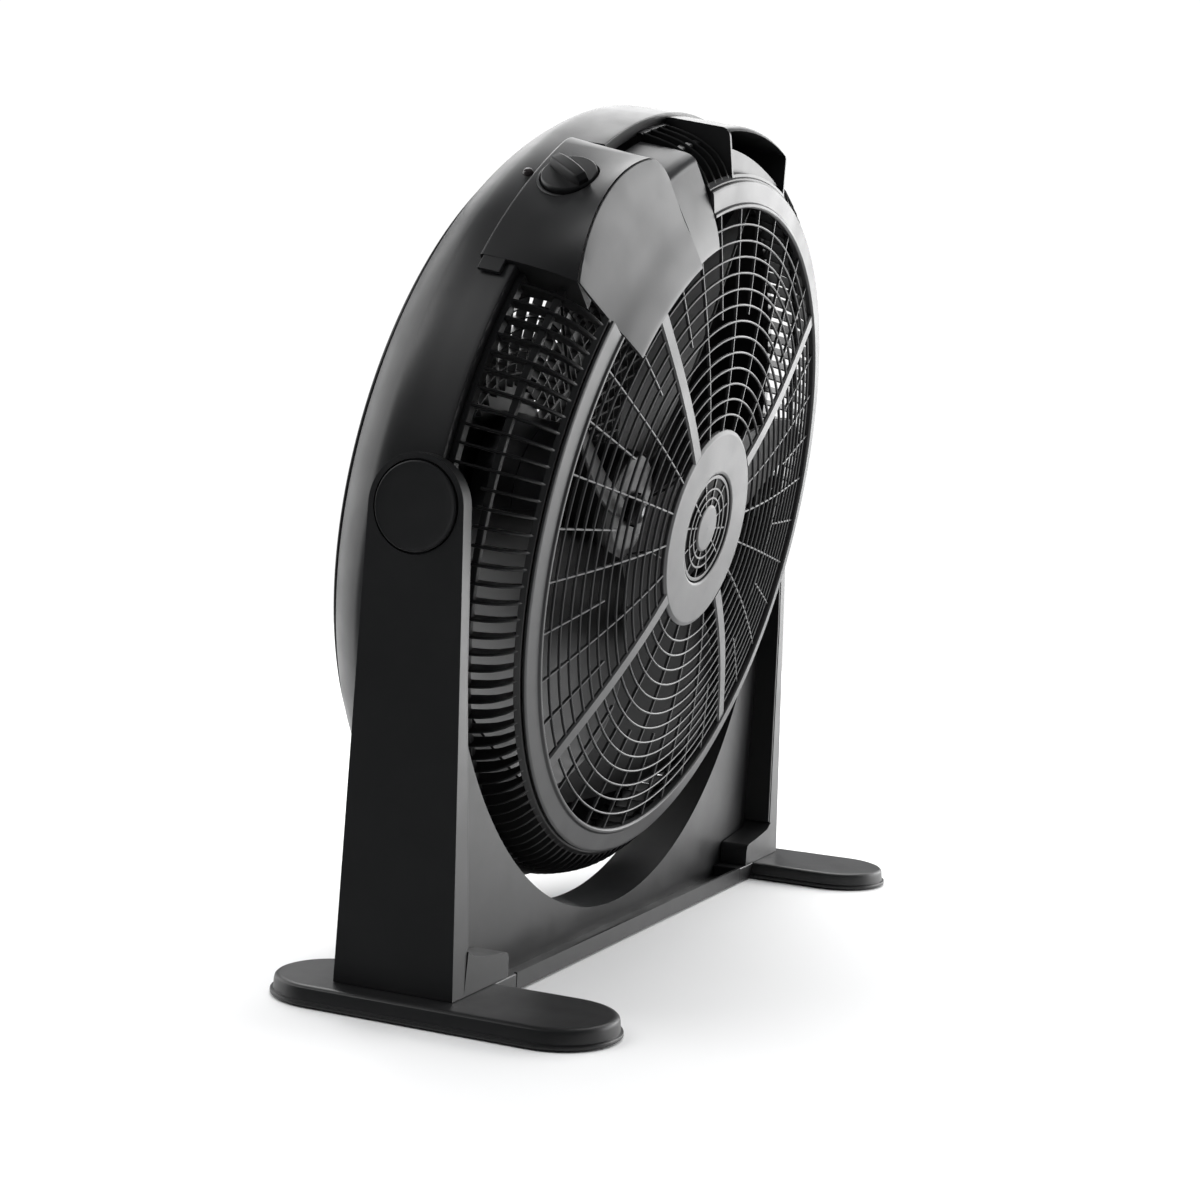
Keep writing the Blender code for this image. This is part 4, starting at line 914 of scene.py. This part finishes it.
def softbox(name, place, target, size, power):
    light = bpy.data.lights.new(name, "AREA")
    light.shape = "RECTANGLE"
    light.size, light.size_y = size
    light.energy = power
    o = bpy.data.objects.new(name, light)
    o.location = place
    o.rotation_euler = (Vector(target) - Vector(place)).to_track_quat("-Z", "Y").to_euler()
    bpy.context.scene.collection.objects.link(o)
    return o


softbox("key", (1.80, -1.35, 0.72), (0, 0, 0.32), (2.7, 1.5), 80)
softbox("high_right", (1.5, 0.7, 1.9), (0, 0, 0.1), (2.0, 1.8), 48)
softbox("high_left_back", (-1.1, 1.5, 1.9), (0, 0, 0.3), (1.2, 1.0), 16)
softbox("background", (0.1, 2.6, 0.9), (0, 0, 0.4), (3.2, 2.4), 44)
overhead = softbox("overhead", (0, -0.1, 2.5), (0, 0, 0), (3.4, 3.4), 50)
overhead.visible_glossy = False

world = bpy.data.worlds.new("studio")
world.use_nodes = True
bpy.context.scene.world = world
air = world.node_tree.nodes
sky = air["Background"]
sky.inputs["Color"].default_value = (0.9, 0.95, 1, 1)
sky.inputs["Strength"].default_value = 0.10
paper = air.new("ShaderNodeBackground")
paper.inputs["Color"].default_value = (1, 1, 1, 1)
paper.inputs["Strength"].default_value = 1.05
path = air.new("ShaderNodeLightPath")
either = air.new("ShaderNodeMixShader")
world.node_tree.links.new(path.outputs["Is Camera Ray"], either.inputs["Fac"])
world.node_tree.links.new(sky.outputs["Background"], either.inputs[1])
world.node_tree.links.new(paper.outputs["Background"], either.inputs[2])
world.node_tree.links.new(either.outputs["Shader"], air["World Output"].inputs["Surface"])
bpy.context.scene.view_settings.view_transform = "Standard"

# the camera stands 1.5 m away, at the front left, a little above the tilt axis
CAMERA_AT = Vector((-1.37516, -0.59426 + PIVOT.y, 0.34529))
FORWARD = Vector((0.913998, 0.398468, -0.076361)).normalized()
UPWARD = Vector((0.046591, 0.083883, 0.995386)).normalized()
camera_data = bpy.data.cameras.new("camera")
camera_data.sensor_width = 36
camera_data.lens = 64.26
camera_data.clip_start = 0.05
camera_data.clip_end = 60
camera = bpy.data.objects.new("camera", camera_data)
camera.matrix_world = frame_matrix(CAMERA_AT, FORWARD.cross(UPWARD), UPWARD, FORWARD * -1)
bpy.context.scene.collection.objects.link(camera)
bpy.context.scene.camera = camera
